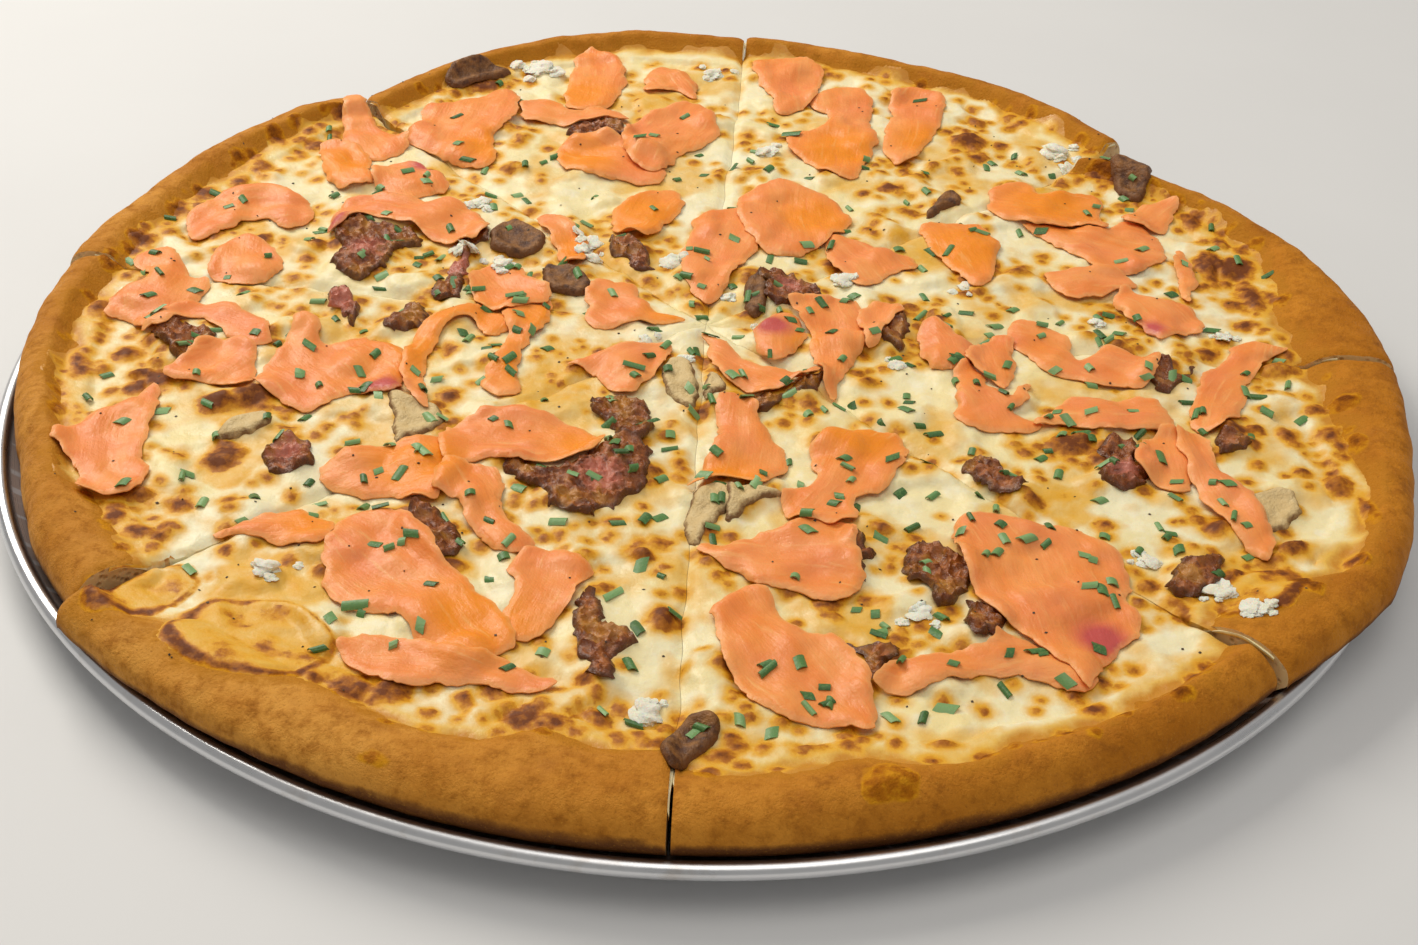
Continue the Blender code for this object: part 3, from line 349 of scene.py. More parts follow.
# Clumps of crumbly white cheese: (x, y, size)
CRUMBLES = (
    (-67, 47, 6), (-57, 40, 5), (-33, 56, 6), (-32, 48, 5), (-10, 47, 5), (7, 30, 4), (15, 14, 4),
    (-4, -4, 4), (-15, 3, 4), (39, 38, 5), (52, -3, 4), (105, -84, 5), (119, -95, 6),
    (124, -105, 5), (-95, -99, 6), (51, -106, 5), (108, 22, 4), (141, 16, 4), (73, 39, 4), (18, 118, 6),
    (-8, -141, 6), (-58, 173, 9), (109, 126, 8), (-67, 79, 6), (0, 176, 6),
)
CHIVE_COUNT = 470
# Where the chives lie thickest: (x, y, spread, share)
CHIVE_FALL = ((-70, 0, 75, 0.3), (40, 20, 75, 0.22), (0, -60, 85, 0.28), (80, -60, 60, 0.2))
PEPPER_COUNT = 260
CHIVE_RADIUS = 165.0
# Chives and pepper don't lie on ground that is lower than this
LOWEST_FOOD = 15.0

# Grid over the food: size of a cell, half its width, number of cells
CELL = 0.5
MAP_HALF = 212.0
CELLS = int(2 * MAP_HALF / CELL)
AXIS = np.arange(CELLS) * CELL - MAP_HALF
GRID_X, GRID_Y = np.meshgrid(AXIS, AXIS)
# Height of what lies on top, browning, golden tint, small rises, and distance inside the spilled pools
ground = np.zeros((CELLS, CELLS))
brown = np.zeros((CELLS, CELLS))
gold = np.zeros((CELLS, CELLS))
lump = np.zeros((CELLS, CELLS))
spill = np.full((CELLS, CELLS), -20.0)


# Numbers

def hashed(i, j, seed):
    """Repeatable values from 0 to 1 for whole-number lattice points."""
    h = (i * 374761393 + j * 668265263 + seed * 974634777) & 0xFFFFFFFF
    h = ((h ^ (h >> 13)) * 1274126177) & 0xFFFFFFFF
    return ((h ^ (h >> 16)) & 0xFFFFFF) / float(0xFFFFFF)


def noise(x, y, size, seed):
    """Smooth noise between about -1 and 1 with bumps of the given size."""
    u, v = np.asarray(x) / size, np.asarray(y) / size
    i, j = np.floor(u).astype(np.int64), np.floor(v).astype(np.int64)
    u, v = u - i, v - j
    su, sv = u * u * (3 - 2 * u), v * v * (3 - 2 * v)
    total = 0.0
    for di in (0, 1):
        for dj in (0, 1):
            angle = 2 * math.pi * hashed(i + di, j + dj, seed)
            slope = np.cos(angle) * (u - di) + np.sin(angle) * (v - dj)
            total = total + slope * (su if di else 1 - su) * (sv if dj else 1 - sv)
    return total * 1.5


def rough(x, y, size, seed, octaves=3):
    """Noise with finer and finer bumps added."""
    return sum(noise(x, y, size / 2 ** k, seed + 31 * k) * 0.5 ** k for k in range(octaves))


def step_up(value, low, high):
    """Smooth step from 0 at low to 1 at high."""
    t = np.clip((value - low) / (high - low), 0.0, 1.0)
    return t * t * (3 - 2 * t)


def along(table, angle):
    """Values of an (angle, value) table, read linearly."""
    return np.interp(angle, [row[0] for row in table], [row[1] for row in table])


def direction(angle):
    """Unit vector in plan for an angle in degrees."""
    return math.cos(math.radians(angle)), math.sin(math.radians(angle))


def wrapped(angle):
    """Angles as the tables of the whole edge count them."""
    return np.where(angle >= TABLE_START, angle, angle + 360.0)


def turned(x, y, centre_x, centre_y, length, width, turn):
    """Offsets from a centre, and the same in a turned frame as shares of a half length and half width."""
    x, y = x - centre_x, y - centre_y
    c, s = direction(turn)
    return x, y, (x * c + y * s) / length, (y * c - x * s) / width


def sample(field, x, y, x0=-MAP_HALF, y0=-MAP_HALF):
    """Read a grid between its points."""
    u = np.clip((np.asarray(x) - x0) / CELL, 0, field.shape[1] - 1.001)
    v = np.clip((np.asarray(y) - y0) / CELL, 0, field.shape[0] - 1.001)
    i, j = u.astype(int), v.astype(int)
    u, v = u - i, v - j
    low = field[j, i] * (1 - u) + field[j, i + 1] * u
    high = field[j + 1, i] * (1 - u) + field[j + 1, i + 1] * u
    return low * (1 - v) + high * v


def window(x, y, reach):
    """Part of the grid within a distance of some points."""
    i0 = max(0, int((np.min(x) - reach + MAP_HALF) / CELL))
    j0 = max(0, int((np.min(y) - reach + MAP_HALF) / CELL))
    i1 = min(CELLS, int((np.max(x) + reach + MAP_HALF) / CELL) + 2)
    j1 = min(CELLS, int((np.max(y) + reach + MAP_HALF) / CELL) + 2)
    return slice(j0, j1), slice(i0, i1)


def slide(field, cells, combine):
    """Run a filter over both directions of a grid."""
    for axis in (0, 1):
        shifted = [np.roll(field, k, axis) for k in range(-cells, cells + 1)]
        field = combine(shifted)
    return field


def spread_and_soften(field, reach):
    """Greatest value nearby, smoothed: the shape that a limp sheet takes over it."""
    cells = max(1, int(reach / CELL))
    high = slide(field, cells, lambda rows: np.max(rows, axis=0))
    return slide(high, cells, lambda rows: np.mean(rows, axis=0))


# Food as heights

def edge_from(tip, k, angle):
    """Distance of the crust's outer edge from the tip of slice k."""
    u, v = np.cos(np.radians(angle)), np.sin(np.radians(angle))
    return along(CRUST_EDGE[k], angle) - (tip[0] - CUT_CENTRE[0]) * u - (tip[1] - CUT_CENTRE[1]) * v


def in_slice(k, x, y, half=HALF_CUT, span=None):
    """Angle, distance inside the cut sides, distance in from the crust's edge, and ledge, for slice k."""
    start, end = span or SLICES[k]
    middle = (start + end) / 2
    tip = slice_tip(k, half, span)
    dx, dy = x - tip[0], y - tip[1]
    angle = np.degrees(np.arctan2(dy, dx))
    angle = middle + (angle - middle + 180.0) % 360.0 - 180.0
    side = np.minimum(np.minimum(angle - start, end - angle), 90.0)
    inset = np.hypot(dx, dy) * np.sin(np.radians(side))
    return angle, inset, edge_from(tip, k, angle) - np.hypot(dx, dy), along(LEDGE, wrapped(angle))


def slice_tip(k, half=HALF_CUT, span=None):
    """Tip of a slice, set back from the cut centre by half the width of the cut."""
    start, end = span or SLICES[k]
    c, s = direction((start + end) / 2)
    back = half / math.sin(math.radians((end - start) / 2))
    return CUT_CENTRE[0] + back * c, CUT_CENTRE[1] + back * s


def seams(k):
    """Angles of the middle of the cuts on both sides of slice k."""
    before, after = SLICES[k - 1], SLICES[(k + 1) % len(SLICES)]
    start = (before[1] + SLICES[k][0] - (360.0 if k == 0 else 0.0)) / 2
    end = (after[0] + SLICES[k][1] + (360.0 if k == len(SLICES) - 1 else 0.0)) / 2
    return start, end


def crust_middle(x, y):
    """Height of the crust's outermost line."""
    return crust_bottom(x, y) + EDGE_RISE


def crust_bottom(x, y):
    """Underside of the dough: flat on the floor, up along the wall, level over the bead."""
    return along(UNDERSIDE, np.hypot(x, y))


def inside_cheese(x, y, s, ledge):
    """Distance in from the edge of the melted cheese, below zero on bare crust."""
    wobble = 3.2 * noise(x, y, 15.0, 11) + 2.2 * noise(x, y, 6.0, 12)
    return np.maximum(s - (ledge - 1.5 + wobble), sample(spill, x, y))


def crust_height(x, y, inset, s, ledge):
    """Top of the crust at a distance s in from its outer edge."""
    top = CRUST_TOP + 0.5 * noise(x, y, 22.0, 4) + 0.3 * rough(x, y, 7.0, 5)
    middle = crust_middle(x, y)
    t = np.clip(s / SHOULDER, 0.0, 1.0)
    shoulder = middle + (top - middle) * (1 - (1 - t) ** 2.5) ** 0.4
    t = np.clip((s - SHOULDER) / (ledge - SHOULDER), 0.0, 1.0)
    power = np.clip(0.93 + 0.19 * (ledge - 13.0), 0.9, 3.2)
    slope = top - (top - CRUST_FOOT) * t ** power
    height = np.where(s < SHOULDER, shoulder, slope)
    height = height - 0.8 * np.exp(-(inset / 0.9) ** 2)
    height = height + 0.6 * sample(lump, x, y) * step_up(s, 2.0, 7.0)
    inner = CRUST_FOOT - 0.16 * (s - ledge) - np.clip(s - ledge - 6.0, 0.0, 6.0)
    return np.where(s > ledge, np.minimum(height, inner), height)


def cheese_height(x, y, inset, s, ledge):
    """Top of the melted cheese, which thins out over the foot of the crust."""
    q = inside_cheese(x, y, s, ledge)
    buried = 1.5 * step_up(noise(x, y, 12.0, 9), 0.05, 0.6)
    base = CHEESE_TOP - 0.5 + 0.9 * noise(x, y, 21.0, 1) + 0.55 * rough(x, y, 8.0, 2) + buried
    base = base + sample(lump, x, y)
    base = base + np.clip(0.35 * q, -2.5, 0.0)
    film = crust_height(x, y, inset, s, ledge) + np.clip(0.22 * q, -0.9, 0.9) - 0.05
    film = film + 0.3 * sample(lump, x, y) * step_up(q, 0.0, 3.0)
    both = 0.5 * (base + film + np.sqrt((base - film) ** 2 + 0.25))
    return both - SEAM_DEPTH * np.exp(-(inset / 1.5) ** 2)


def stamp_spot(x, y, length, width, turn, rise, seed, most=1.0):
    """Brown one spot and raise it."""
    part = window([x], [y], 1.3 * length + 4.0)
    gx, gy, u, v = turned(GRID_X[part], GRID_Y[part], x, y, length, width, turn)
    ragged = 0.22 * noise(gx, gy, 0.9 * width, seed) + 0.13 * noise(gx, gy, 0.4 * width, seed + 1)
    d = np.hypot(u, v) + ragged
    depth = (1.0 - d) * width
    raise_to(brown, part, np.clip(0.5 + depth / SPOT_FADE, 0.0, most))
    raise_to(gold, part, np.clip(1.0 + depth / (2.8 + 0.5 * width), 0.0, 1.0))
    lump[part] += rise * np.clip(1.0 - d * d, 0.0, 1.0)


def raise_to(field, part, value):
    """Keep the greater of a grid's part and some values."""
    field[part] = np.maximum(field[part], value)


def stamp_pool(x, y, length, width, turn, seed):
    """Let a pool of cheese run over the crust, with a browned rim on its outer side."""
    part = window([x], [y], 1.5 * length)
    gx, gy, u, v = turned(GRID_X[part], GRID_Y[part], x, y, length, width, turn)
    ragged = 0.14 * noise(gx, gy, 0.9 * width, seed) + 0.05 * noise(gx, gy, 0.35 * width, seed + 1)
    depth = (1.0 - np.hypot(u, v) - ragged) * width
    outward = (gx * x + gy * y) / (math.hypot(x, y) * np.maximum(np.hypot(gx, gy), 1.0))
    band = 2.4 * np.clip(0.75 + 0.7 * outward + 0.5 * noise(gx, gy, 6.0, seed + 2), 0.1, 1.6)
    ring = np.clip(0.5 + np.minimum(depth + 0.4, band - depth) / 2.2, 0.0, 1.0) * (depth > -3.0)
    ring = np.maximum(ring, step_up(depth, 0.0, 2.0) * (0.36 + 0.34 * rough(gx, gy, 7.0, seed + 3)))
    brown[part] = np.maximum(brown[part] * (depth < 0.0), ring)
    raise_to(gold, part, step_up(depth, -1.0, 2.0))
    raise_to(spill, part, depth)
    lump[part] = np.where(depth > 0.0, 0.5, lump[part])


def brown_at_random():
    """Small browned spots, thicker near the crust, near the toppings and in patches."""
    busy = [np.mean(points_of(row), axis=0) for row in BACON + MUSHROOM]
    for number in range(SPOT_TRIES):
        angle, share = rng.uniform(0.0, 360.0), math.sqrt(rng.uniform())
        x = CUT_CENTRE[0] + SPOT_RADIUS * share * math.cos(math.radians(angle))
        y = CUT_CENTRE[1] + SPOT_RADIUS * share * math.sin(math.radians(angle))
        size = min(LARGEST_SPOT, 0.8 * math.exp(rng.normal(0.5, 0.42)))
        stretch, turn, chance = rng.uniform(0.65, 1.0), rng.uniform(0.0, 180.0), rng.uniform()
        k = [n for n, (a, b) in enumerate(SLICES) if a <= a + (angle - a) % 360.0 <= b]
        if not k:
            continue
        _, _, s, ledge = in_slice(k[0], np.array([x]), np.array([y]))
        depth = float(s[0] - ledge[0])
        if depth < -3.5:
            continue
        near = min(math.dist((x, y), place) for place in busy)
        patch = float(noise(x, y, 26.0, 7)) + 0.5 * float(noise(x, y, 11.0, 8))
        depth = max(depth, 0.0)
        wanted = 0.17 + 0.5 * math.exp(-depth / 8.0) + 0.4 * math.exp(-near / 13.0) + 0.5 * patch
        if chance <= wanted:
            size *= 1.0 + 0.3 * math.exp(-depth / 6.0)
            stamp_spot(x, y, size, size * stretch, turn, 0.27 * size, 102 + 2 * number)


def brown_the_cheese():
    """Spots at random, then the measured bubbles, golden areas, blisters and pools."""
    gold[:] = 0.85 * step_up(rough(GRID_X, GRID_Y, 22.0, 70), -0.15, 0.6)
    brown_at_random()
    for k, (x, y, length, width, turn) in enumerate(BUBBLES):
        stamp_spot(x, y, length, width, turn, min(1.7, 0.4 * length), 20 + 5 * k)
    for k, (x, y, radius) in enumerate(GOLDEN):
        part = window([x], [y], 1.6 * radius)
        gx, gy = GRID_X[part] - x, GRID_Y[part] - y
        share = step_up(1.2 - np.hypot(gx, gy) / radius + 0.5 * rough(gx, gy, 9.0, 130 + k), 0.0, 0.7)
        raise_to(gold, part, share)
        raise_to(brown, part, share * (0.22 + 0.3 * noise(gx, gy, 5.0, 160 + k)))
    for k, (x, y, length, width, turn) in enumerate(BLISTERS):
        stamp_spot(x, y, length, width, turn, 2.6, 60 + 5 * k, most=0.7)
    for k, pool in enumerate(POOLS):
        stamp_pool(*pool, 80 + 5 * k)
    for row in BACON + MUSHROOM:
        loop = points_of(row)
        part = window(loop[:, 0], loop[:, 1], 6.0)
        lump[part] += 0.9 * step_up(from_edge(GRID_X[part], GRID_Y[part], loop), -4.5, 1.5)


def fill_ground():
    """Height of crust and cheese on the grid."""
    for k, (start, end) in enumerate(SLICES):
        angle, inset, s, ledge = in_slice(k, GRID_X, GRID_Y)
        here = (angle >= start) & (angle <= end) & (s > 0.0)
        spots = (GRID_X[here], GRID_Y[here], inset[here], s[here], ledge[here])
        cheese = np.where(s[here] > ledge[here] - SPILL_REACH, cheese_height(*spots), 0.0)
        ground[here] = np.maximum(crust_height(*spots), cheese)


# Meshes

def add_piece(name, points, faces, materials, replaced=(), values=None, sharp=45.0, which=None):
    """Make one object of the model from points in millimetres."""
    low, high = (np.array(corner) / MM for corner in CAD_BOX)
    points = np.clip(np.asarray(points, dtype=float), low + 0.02, high - 0.02) * MM
    mesh = bpy.data.meshes.new(name)
    mesh.from_pydata(points.tolist(), [], faces)
    mesh.shade_smooth()
    mesh.set_sharp_from_angle(angle=math.radians(sharp))
    for key, value in (values or {}).items():
        layer = mesh.attributes.new(key, "FLOAT", "POINT")
        layer.data.foreach_set("value", np.asarray(value, dtype=np.float32))
    for material in materials:
        mesh.materials.append(material)
    if which is not None:
        mesh.polygons.foreach_set("material_index", np.asarray(which, dtype=np.int32))
    mesh.update()
    piece = linked(bpy.data.objects.new(name, mesh))
    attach(piece, "root")
    if replaced:
        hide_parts(*replaced)


def linked(made):
    """Put an object into the scene."""
    bpy.context.scene.collection.objects.link(made)
    return made


def points_of(row):
    """Points of an outline that is written as x, y, x, y and so on."""
    return np.array(row, dtype=float).reshape(-1, 2)


class Heap:
    """Collects many small shapes that become one object."""

    def __init__(self):
        self.points, self.faces, self.values = [], [], {}

    def add(self, points, faces, **values):
        start = len(self.points)
        self.points += [tuple(p) for p in points]
        self.faces += [tuple(start + int(i) for i in face) for face in faces]
        for key, value in values.items():
            self.values.setdefault(key, []).extend(np.broadcast_to(value, len(points)).tolist())


def rounded(row, step, torn, seed):
    """Closed smooth curve through an outline's points, in even steps, with torn edges."""
    knots = points_of(row)
    curve = []
    for k in range(len(knots)):
        a, b, c, d = (knots[(k + m) % len(knots)] for m in (-1, 0, 1, 2))
        for t in np.linspace(0.0, 1.0, 12, endpoint=False):
            curve.append(0.5 * (2 * b + (c - a) * t + (2 * a - 5 * b + 4 * c - d) * t * t
                                + (3 * b - a - 3 * c + d) * t ** 3))
    curve = np.array(curve + curve[:1])
    run = np.concatenate([[0.0], np.cumsum(np.hypot(*np.diff(curve, axis=0).T))])
    count = max(6, int(round(run[-1] / step)))
    even = np.linspace(0.0, run[-1], count, endpoint=False)
    x, y = np.interp(even, run, curve[:, 0]), np.interp(even, run, curve[:, 1])
    loop = np.column_stack([x, y])
    loop = loop + torn * np.column_stack([rough(x, y, 6.0, seed), rough(x, y, 6.0, seed + 7)])
    return loop + 0.4 * torn * np.column_stack([noise(x, y, 2.2, seed + 3), noise(x, y, 2.2, seed + 5)])


def from_edge(x, y, loop):
    """Signed distance from points to a closed outline, positive inside."""
    x, y = np.asarray(x, dtype=float), np.asarray(y, dtype=float)
    best, inside = np.full(x.shape, 1e9), np.zeros(x.shape, dtype=bool)
    for (ax, ay), (bx, by) in zip(loop, np.roll(loop, -1, axis=0)):
        ex, ey = bx - ax, by - ay
        t = np.clip(((x - ax) * ex + (y - ay) * ey) / max(ex * ex + ey * ey, 1e-12), 0.0, 1.0)
        best = np.minimum(best, (x - ax - t * ex) ** 2 + (y - ay - t * ey) ** 2)
        if ay != by:
            inside ^= ((ay > y) != (by > y)) & (x < ax + (y - ay) * ex / ey)
    return np.where(inside, 1.0, -1.0) * np.sqrt(best)


def lattice(low, high, step):
    """Points of a triangular grid over a box, each a little off its place."""
    rows = np.arange(low[1], high[1], step * 0.866)
    columns = np.arange(low[0], high[0], step)
    x, y = np.meshgrid(columns, rows)
    x = x + (np.arange(len(rows)) % 2)[:, None] * step / 2
    x = x + 0.12 * step * noise(x, y, 1.3 * step, 3)
    return np.column_stack([x.ravel(), y.ravel()])


def fill_plan(loop, inner):
    """Triangles that fill an outline and use the inner points: (points, faces)."""
    points = [Vector(p) for p in loop.tolist() + inner.tolist()]
    verts, _, faces, *_ = delaunay_2d_cdt(points, [], [list(range(len(loop)))], 1, 1e-5)
    return np.array([(v.x, v.y) for v in verts]), [tuple(f) for f in faces]


def open_sides(faces):
    """Sides of triangles that belong to one triangle only."""
    sides = {(face[k - 1], face[k]) for face in faces for k in range(3)}
    return sorted(side for side in sides if side[::-1] not in sides)


def slab_faces(faces, count):
    """Faces of a thin solid whose bottom and top points are split alike, count points to a side."""
    solid = [(c, b, a) for a, b, c in faces]
    solid += [(a + count, b + count, c + count) for a, b, c in faces]
    solid += [(a, b, b + count, a + count) for a, b in open_sides(faces)]
    return solid


# Materials

class Shader:
    """A Principled material whose colour, roughness and bump come from nodes."""

    def __init__(self, name, **settings):
        self.material = bpy.data.materials.new(name)
        self.material.use_nodes = True
        self.tree = self.material.node_tree
        self.shader = self.tree.nodes["Principled BSDF"]
        for key, value in settings.items():
            self.shader.inputs[key.replace("_", " ")].default_value = value
        place = self.tree.nodes.new("ShaderNodeTexCoord")
        self.place = place.outputs["Object"]

    def node(self, kind, inputs, out=0, **settings):
        made = self.tree.nodes.new(kind)
        for key, value in settings.items():
            setattr(made, key, value)
        for key, value in inputs.items():
            socket = made.inputs[key]
            if isinstance(value, bpy.types.NodeSocket):
                self.tree.links.new(value, socket)
            else:
                socket.default_value = value
        return made.outputs[out]

    def value(self, name):
        return self.node("ShaderNodeAttribute", {}, out="Fac", attribute_name=name)

    def math(self, operation, a, b=0.0, clamp=False):
        return self.node("ShaderNodeMath", {0: a, 1: b}, operation=operation, use_clamp=clamp)

    def uneven(self, value, grain, amount, clamp=True):
        """A value that a noise moves up and down."""
        change = self.math("MULTIPLY", self.math("SUBTRACT", grain, 0.5), amount)
        return self.math("ADD", value, change, clamp)

    def weigh(self, a, b, share):
        """Mean of two values, with the first one's share."""
        return self.math("ADD", self.math("MULTIPLY", a, share), self.math("MULTIPLY", b, 1.0 - share))

    def noise(self, size, detail=3.0, roughness=0.55, place=None, stretch=None):
        """Noise whose bumps are about size millimetres across."""
        place = place or self.place
        if stretch:
            place = self.node("ShaderNodeMapping", {"Vector": place, "Scale": stretch})
        inputs = {"Vector": place, "Scale": 1.0 / (size * MM), "Detail": detail, "Roughness": roughness}
        return self.node("ShaderNodeTexNoise", inputs, out="Fac")

    def cells(self, size):
        inputs = {"Vector": self.place, "Scale": 1.0 / (size * MM)}
        return self.node("ShaderNodeTexVoronoi", inputs, out="Distance")

    def ramp(self, factor, *stops):
        """Colour or grey for a factor, from (position, colour or number) stops."""
        made = self.tree.nodes.new("ShaderNodeValToRGB")
        self.tree.links.new(factor, made.inputs[0])
        while len(made.color_ramp.elements) < len(stops):
            made.color_ramp.elements.new(0.5)
        for element, (position, colour) in zip(made.color_ramp.elements, stops):
            element.position = position
            element.color = (*colour, 1.0) if isinstance(colour, tuple) else (colour, colour, colour, 1.0)
        return made.outputs[0]

    def mix(self, factor, a, b):
        made = self.tree.nodes.new("ShaderNodeMix")
        made.data_type = "RGBA"
        for socket, value in ((made.inputs[0], factor), (made.inputs[6], a), (made.inputs[7], b)):
            if isinstance(value, bpy.types.NodeSocket):
                self.tree.links.new(value, socket)
            elif isinstance(value, tuple):
                socket.default_value = (*value, 1.0)
            else:
                socket.default_value = value
        return made.outputs[2]

    def coats(self, colour, *layers):
        """A colour under coats, each with the factor and the ramp that say where it shows, and its colour."""
        for factor, *stops, coat in layers:
            colour = self.mix(self.ramp(factor, *stops), colour, coat)
        return colour

    def rings(self, place, scale):
        """Noise along one line."""
        inputs = {"W": place, "Scale": scale, "Detail": 3.0}
        return self.node("ShaderNodeTexNoise", inputs, out="Fac", noise_dimensions="1D")

    def finish(self, colour, roughness=None, height=None, depth=0.3):
        """Join the colour, the roughness and a bump whose height is depth millimetres."""
        self.tree.links.new(colour, self.shader.inputs["Base Color"])
        if roughness is not None:
            self.tree.links.new(roughness, self.shader.inputs["Roughness"])
        if height is not None:
            bump = self.node("ShaderNodeBump", {"Height": height, "Distance": depth * MM}, out="Normal")
            self.tree.links.new(bump, self.shader.inputs["Normal"])
        return self.material


def pan_material():
    m = Shader("spun_aluminium", Anisotropic=0.35)
    radius = m.node("ShaderNodeVectorMath", {0: m.place}, out="Value", operation="LENGTH")
    rings, wall = m.rings(radius, 2600.0), m.value("wall")
    smear, scratch = m.noise(18.0, 4.0), m.noise(1.2, 2.0)
    colour = m.mix(smear, (0.62, 0.63, 0.65), (0.82, 0.82, 0.83))
    colour = m.coats(colour, (m.noise(7.0, 5.0), (0.58, 0.0), (0.75, 0.35), (0.42, 0.32, 0.22)))
    # The inner wall's brown is partly baked-on residue and partly a painted reflection of the crust, and its
    # white streaks are painted highlights; the wall is made less metallic so that this painted colour shows.
    residue_and_reflection = m.mix(smear, (0.60, 0.46, 0.40), (0.40, 0.28, 0.22))
    residue_and_reflection = m.coats(residue_and_reflection, (m.rings(m.value("turn"), 0.9), (0.58, 0.0), (0.68, 0.7), (0.86, 0.86, 0.90)))
    colour = m.mix(m.math("MULTIPLY", wall, 0.85), colour, residue_and_reflection)
    m.tree.links.new(m.ramp(wall, (0.0, 1.0), (1.0, 0.45)), m.shader.inputs["Metallic"])
    roughness = m.ramp(m.weigh(smear, rings, 0.6), (0.2, 0.2), (0.8, 0.42))
    return m.finish(colour, roughness, m.weigh(rings, scratch, 0.6), 0.03)


def crust_material():
    m = Shader("baked_crust", Specular_IOR_Level=0.08)
    broad, fine, grain = m.noise(26.0, 4.0), m.noise(4.0, 4.0, 0.65), m.noise(0.7, 3.0, 0.7)
    patch = m.ramp(broad, (0.32, 0.0), (0.66, 1.0))
    # Painted light: dark is a shaded copy and pale a lit copy of the crust's colour, mixed by how much
    # painted light each part of the rim gets
    dark = m.mix(patch, (0.40, 0.125, 0.004), (0.56, 0.200, 0.010))
    pale = m.mix(patch, (0.58, 0.235, 0.028), (0.74, 0.36, 0.070))
    spot = m.uneven(m.value("brown"), fine, 0.35, clamp=False)
    colour = m.coats(
        m.mix(m.value("pale"), dark, pale),
        (fine, (0.44, 0.0), (0.70, 0.8), (0.36, 0.120, 0.008)),
        (m.noise(11.0, 3.0), (0.55, 0.0), (0.72, 0.5), (0.33, 0.105, 0.010)),
        (m.uneven(m.value("low"), fine, 0.9), (0.05, 0.0), (0.5, 0.6), (0.95, 1.0), (0.14, 0.048, 0.012)),
        (m.uneven(m.value("near"), fine, 1.2), (0.25, 0.0), (0.9, 0.8), (0.50, 0.20, 0.014)),
        (grain, (0.58, 0.0), (0.72, 0.3), (0.74, 0.36, 0.050)),
        (grain, (0.28, 0.45), (0.42, 0.0), (0.24, 0.080, 0.008)),
        (spot, (0.40, 0.0), (0.56, 0.9), scorched(m, spot)),
    )
    return m.finish(colour, m.ramp(fine, (0.3, 0.5), (0.7, 0.72)), m.weigh(fine, grain, 0.55), 0.9)


def scorched(m, spot):
    """Colour of a browned spot: golden brown with darker patches towards its middle."""
    patch = m.uneven(spot, m.noise(2.6, 3.0), 1.1, clamp=False)
    return m.coats(
        (0.64, 0.27, 0.006),
        (patch, (0.48, 0.0), (0.72, 1.0), (0.40, 0.125, 0.001)),
        (patch, (0.74, 0.0), (1.0, 1.0), (0.16, 0.036, 0.0)),
    )


def crumb_material():
    m = Shader("cut_dough", Subsurface_Weight=0.1, Subsurface_Scale=0.002)
    holes = m.ramp(m.cells(1.8), (0.0, 0.0), (0.45, 1.0))
    tint = m.noise(4.0, 4.0)
    colour = m.mix(tint, (0.80, 0.58, 0.30), (0.62, 0.36, 0.12))
    # Painted shade: the holes in the crumb are painted darker, as the shade that falls in them
    colour = m.mix(holes, (0.45, 0.24, 0.08), colour)
    return m.finish(colour, m.ramp(tint, (0.3, 0.7), (0.7, 0.85)), holes, 0.5)


def cheese_material():
    m = Shader("melted_cheese", Subsurface_Weight=0.1, Subsurface_Scale=0.002, Specular_IOR_Level=0.3,
               Subsurface_Radius=(1.0, 0.7, 0.35))
    broad, mid, fine = m.noise(28.0, 4.0), m.noise(6.0, 4.0, 0.6), m.noise(1.4, 4.0, 0.65)
    rim = m.uneven(m.value("rim"), mid, 0.78)
    crusty = m.coats((0.78, 0.46, 0.060), (rim, (0.55, 0.0), (0.95, 1.0), (0.58, 0.25, 0.022)))
    spot = m.uneven(m.value("brown"), fine, 0.35, clamp=False)
    halo = m.uneven(m.value("gold"), mid, 1.3)
    colour = m.coats(
        (0.87, 0.80, 0.54),
        (broad, (0.35, 0.0), (0.65, 1.0), (0.87, 0.72, 0.35)),
        (mid, (0.5, 0.0), (0.7, 0.8), (0.90, 0.85, 0.64)),
        (halo, (0.2, 0.0), (0.55, 0.45), (1.0, 0.9), (0.76, 0.42, 0.045)),
        (rim, (0.2, 0.0), (0.55, 0.75), (0.9, 1.0), crusty),
        (spot, (0.16, 0.0), (0.42, 0.9), (0.76, 0.38, 0.020)),
        (spot, (0.42, 0.0), (0.54, 1.0), scorched(m, spot)),
    )
    roughness = m.ramp(m.weigh(mid, fine, 0.6), (0.35, 0.24), (0.65, 0.5))
    roughness = m.math("ADD", roughness, m.math("MULTIPLY", m.value("brown"), 0.3))
    return m.finish(colour, roughness, m.weigh(mid, fine, 0.5), 0.45)


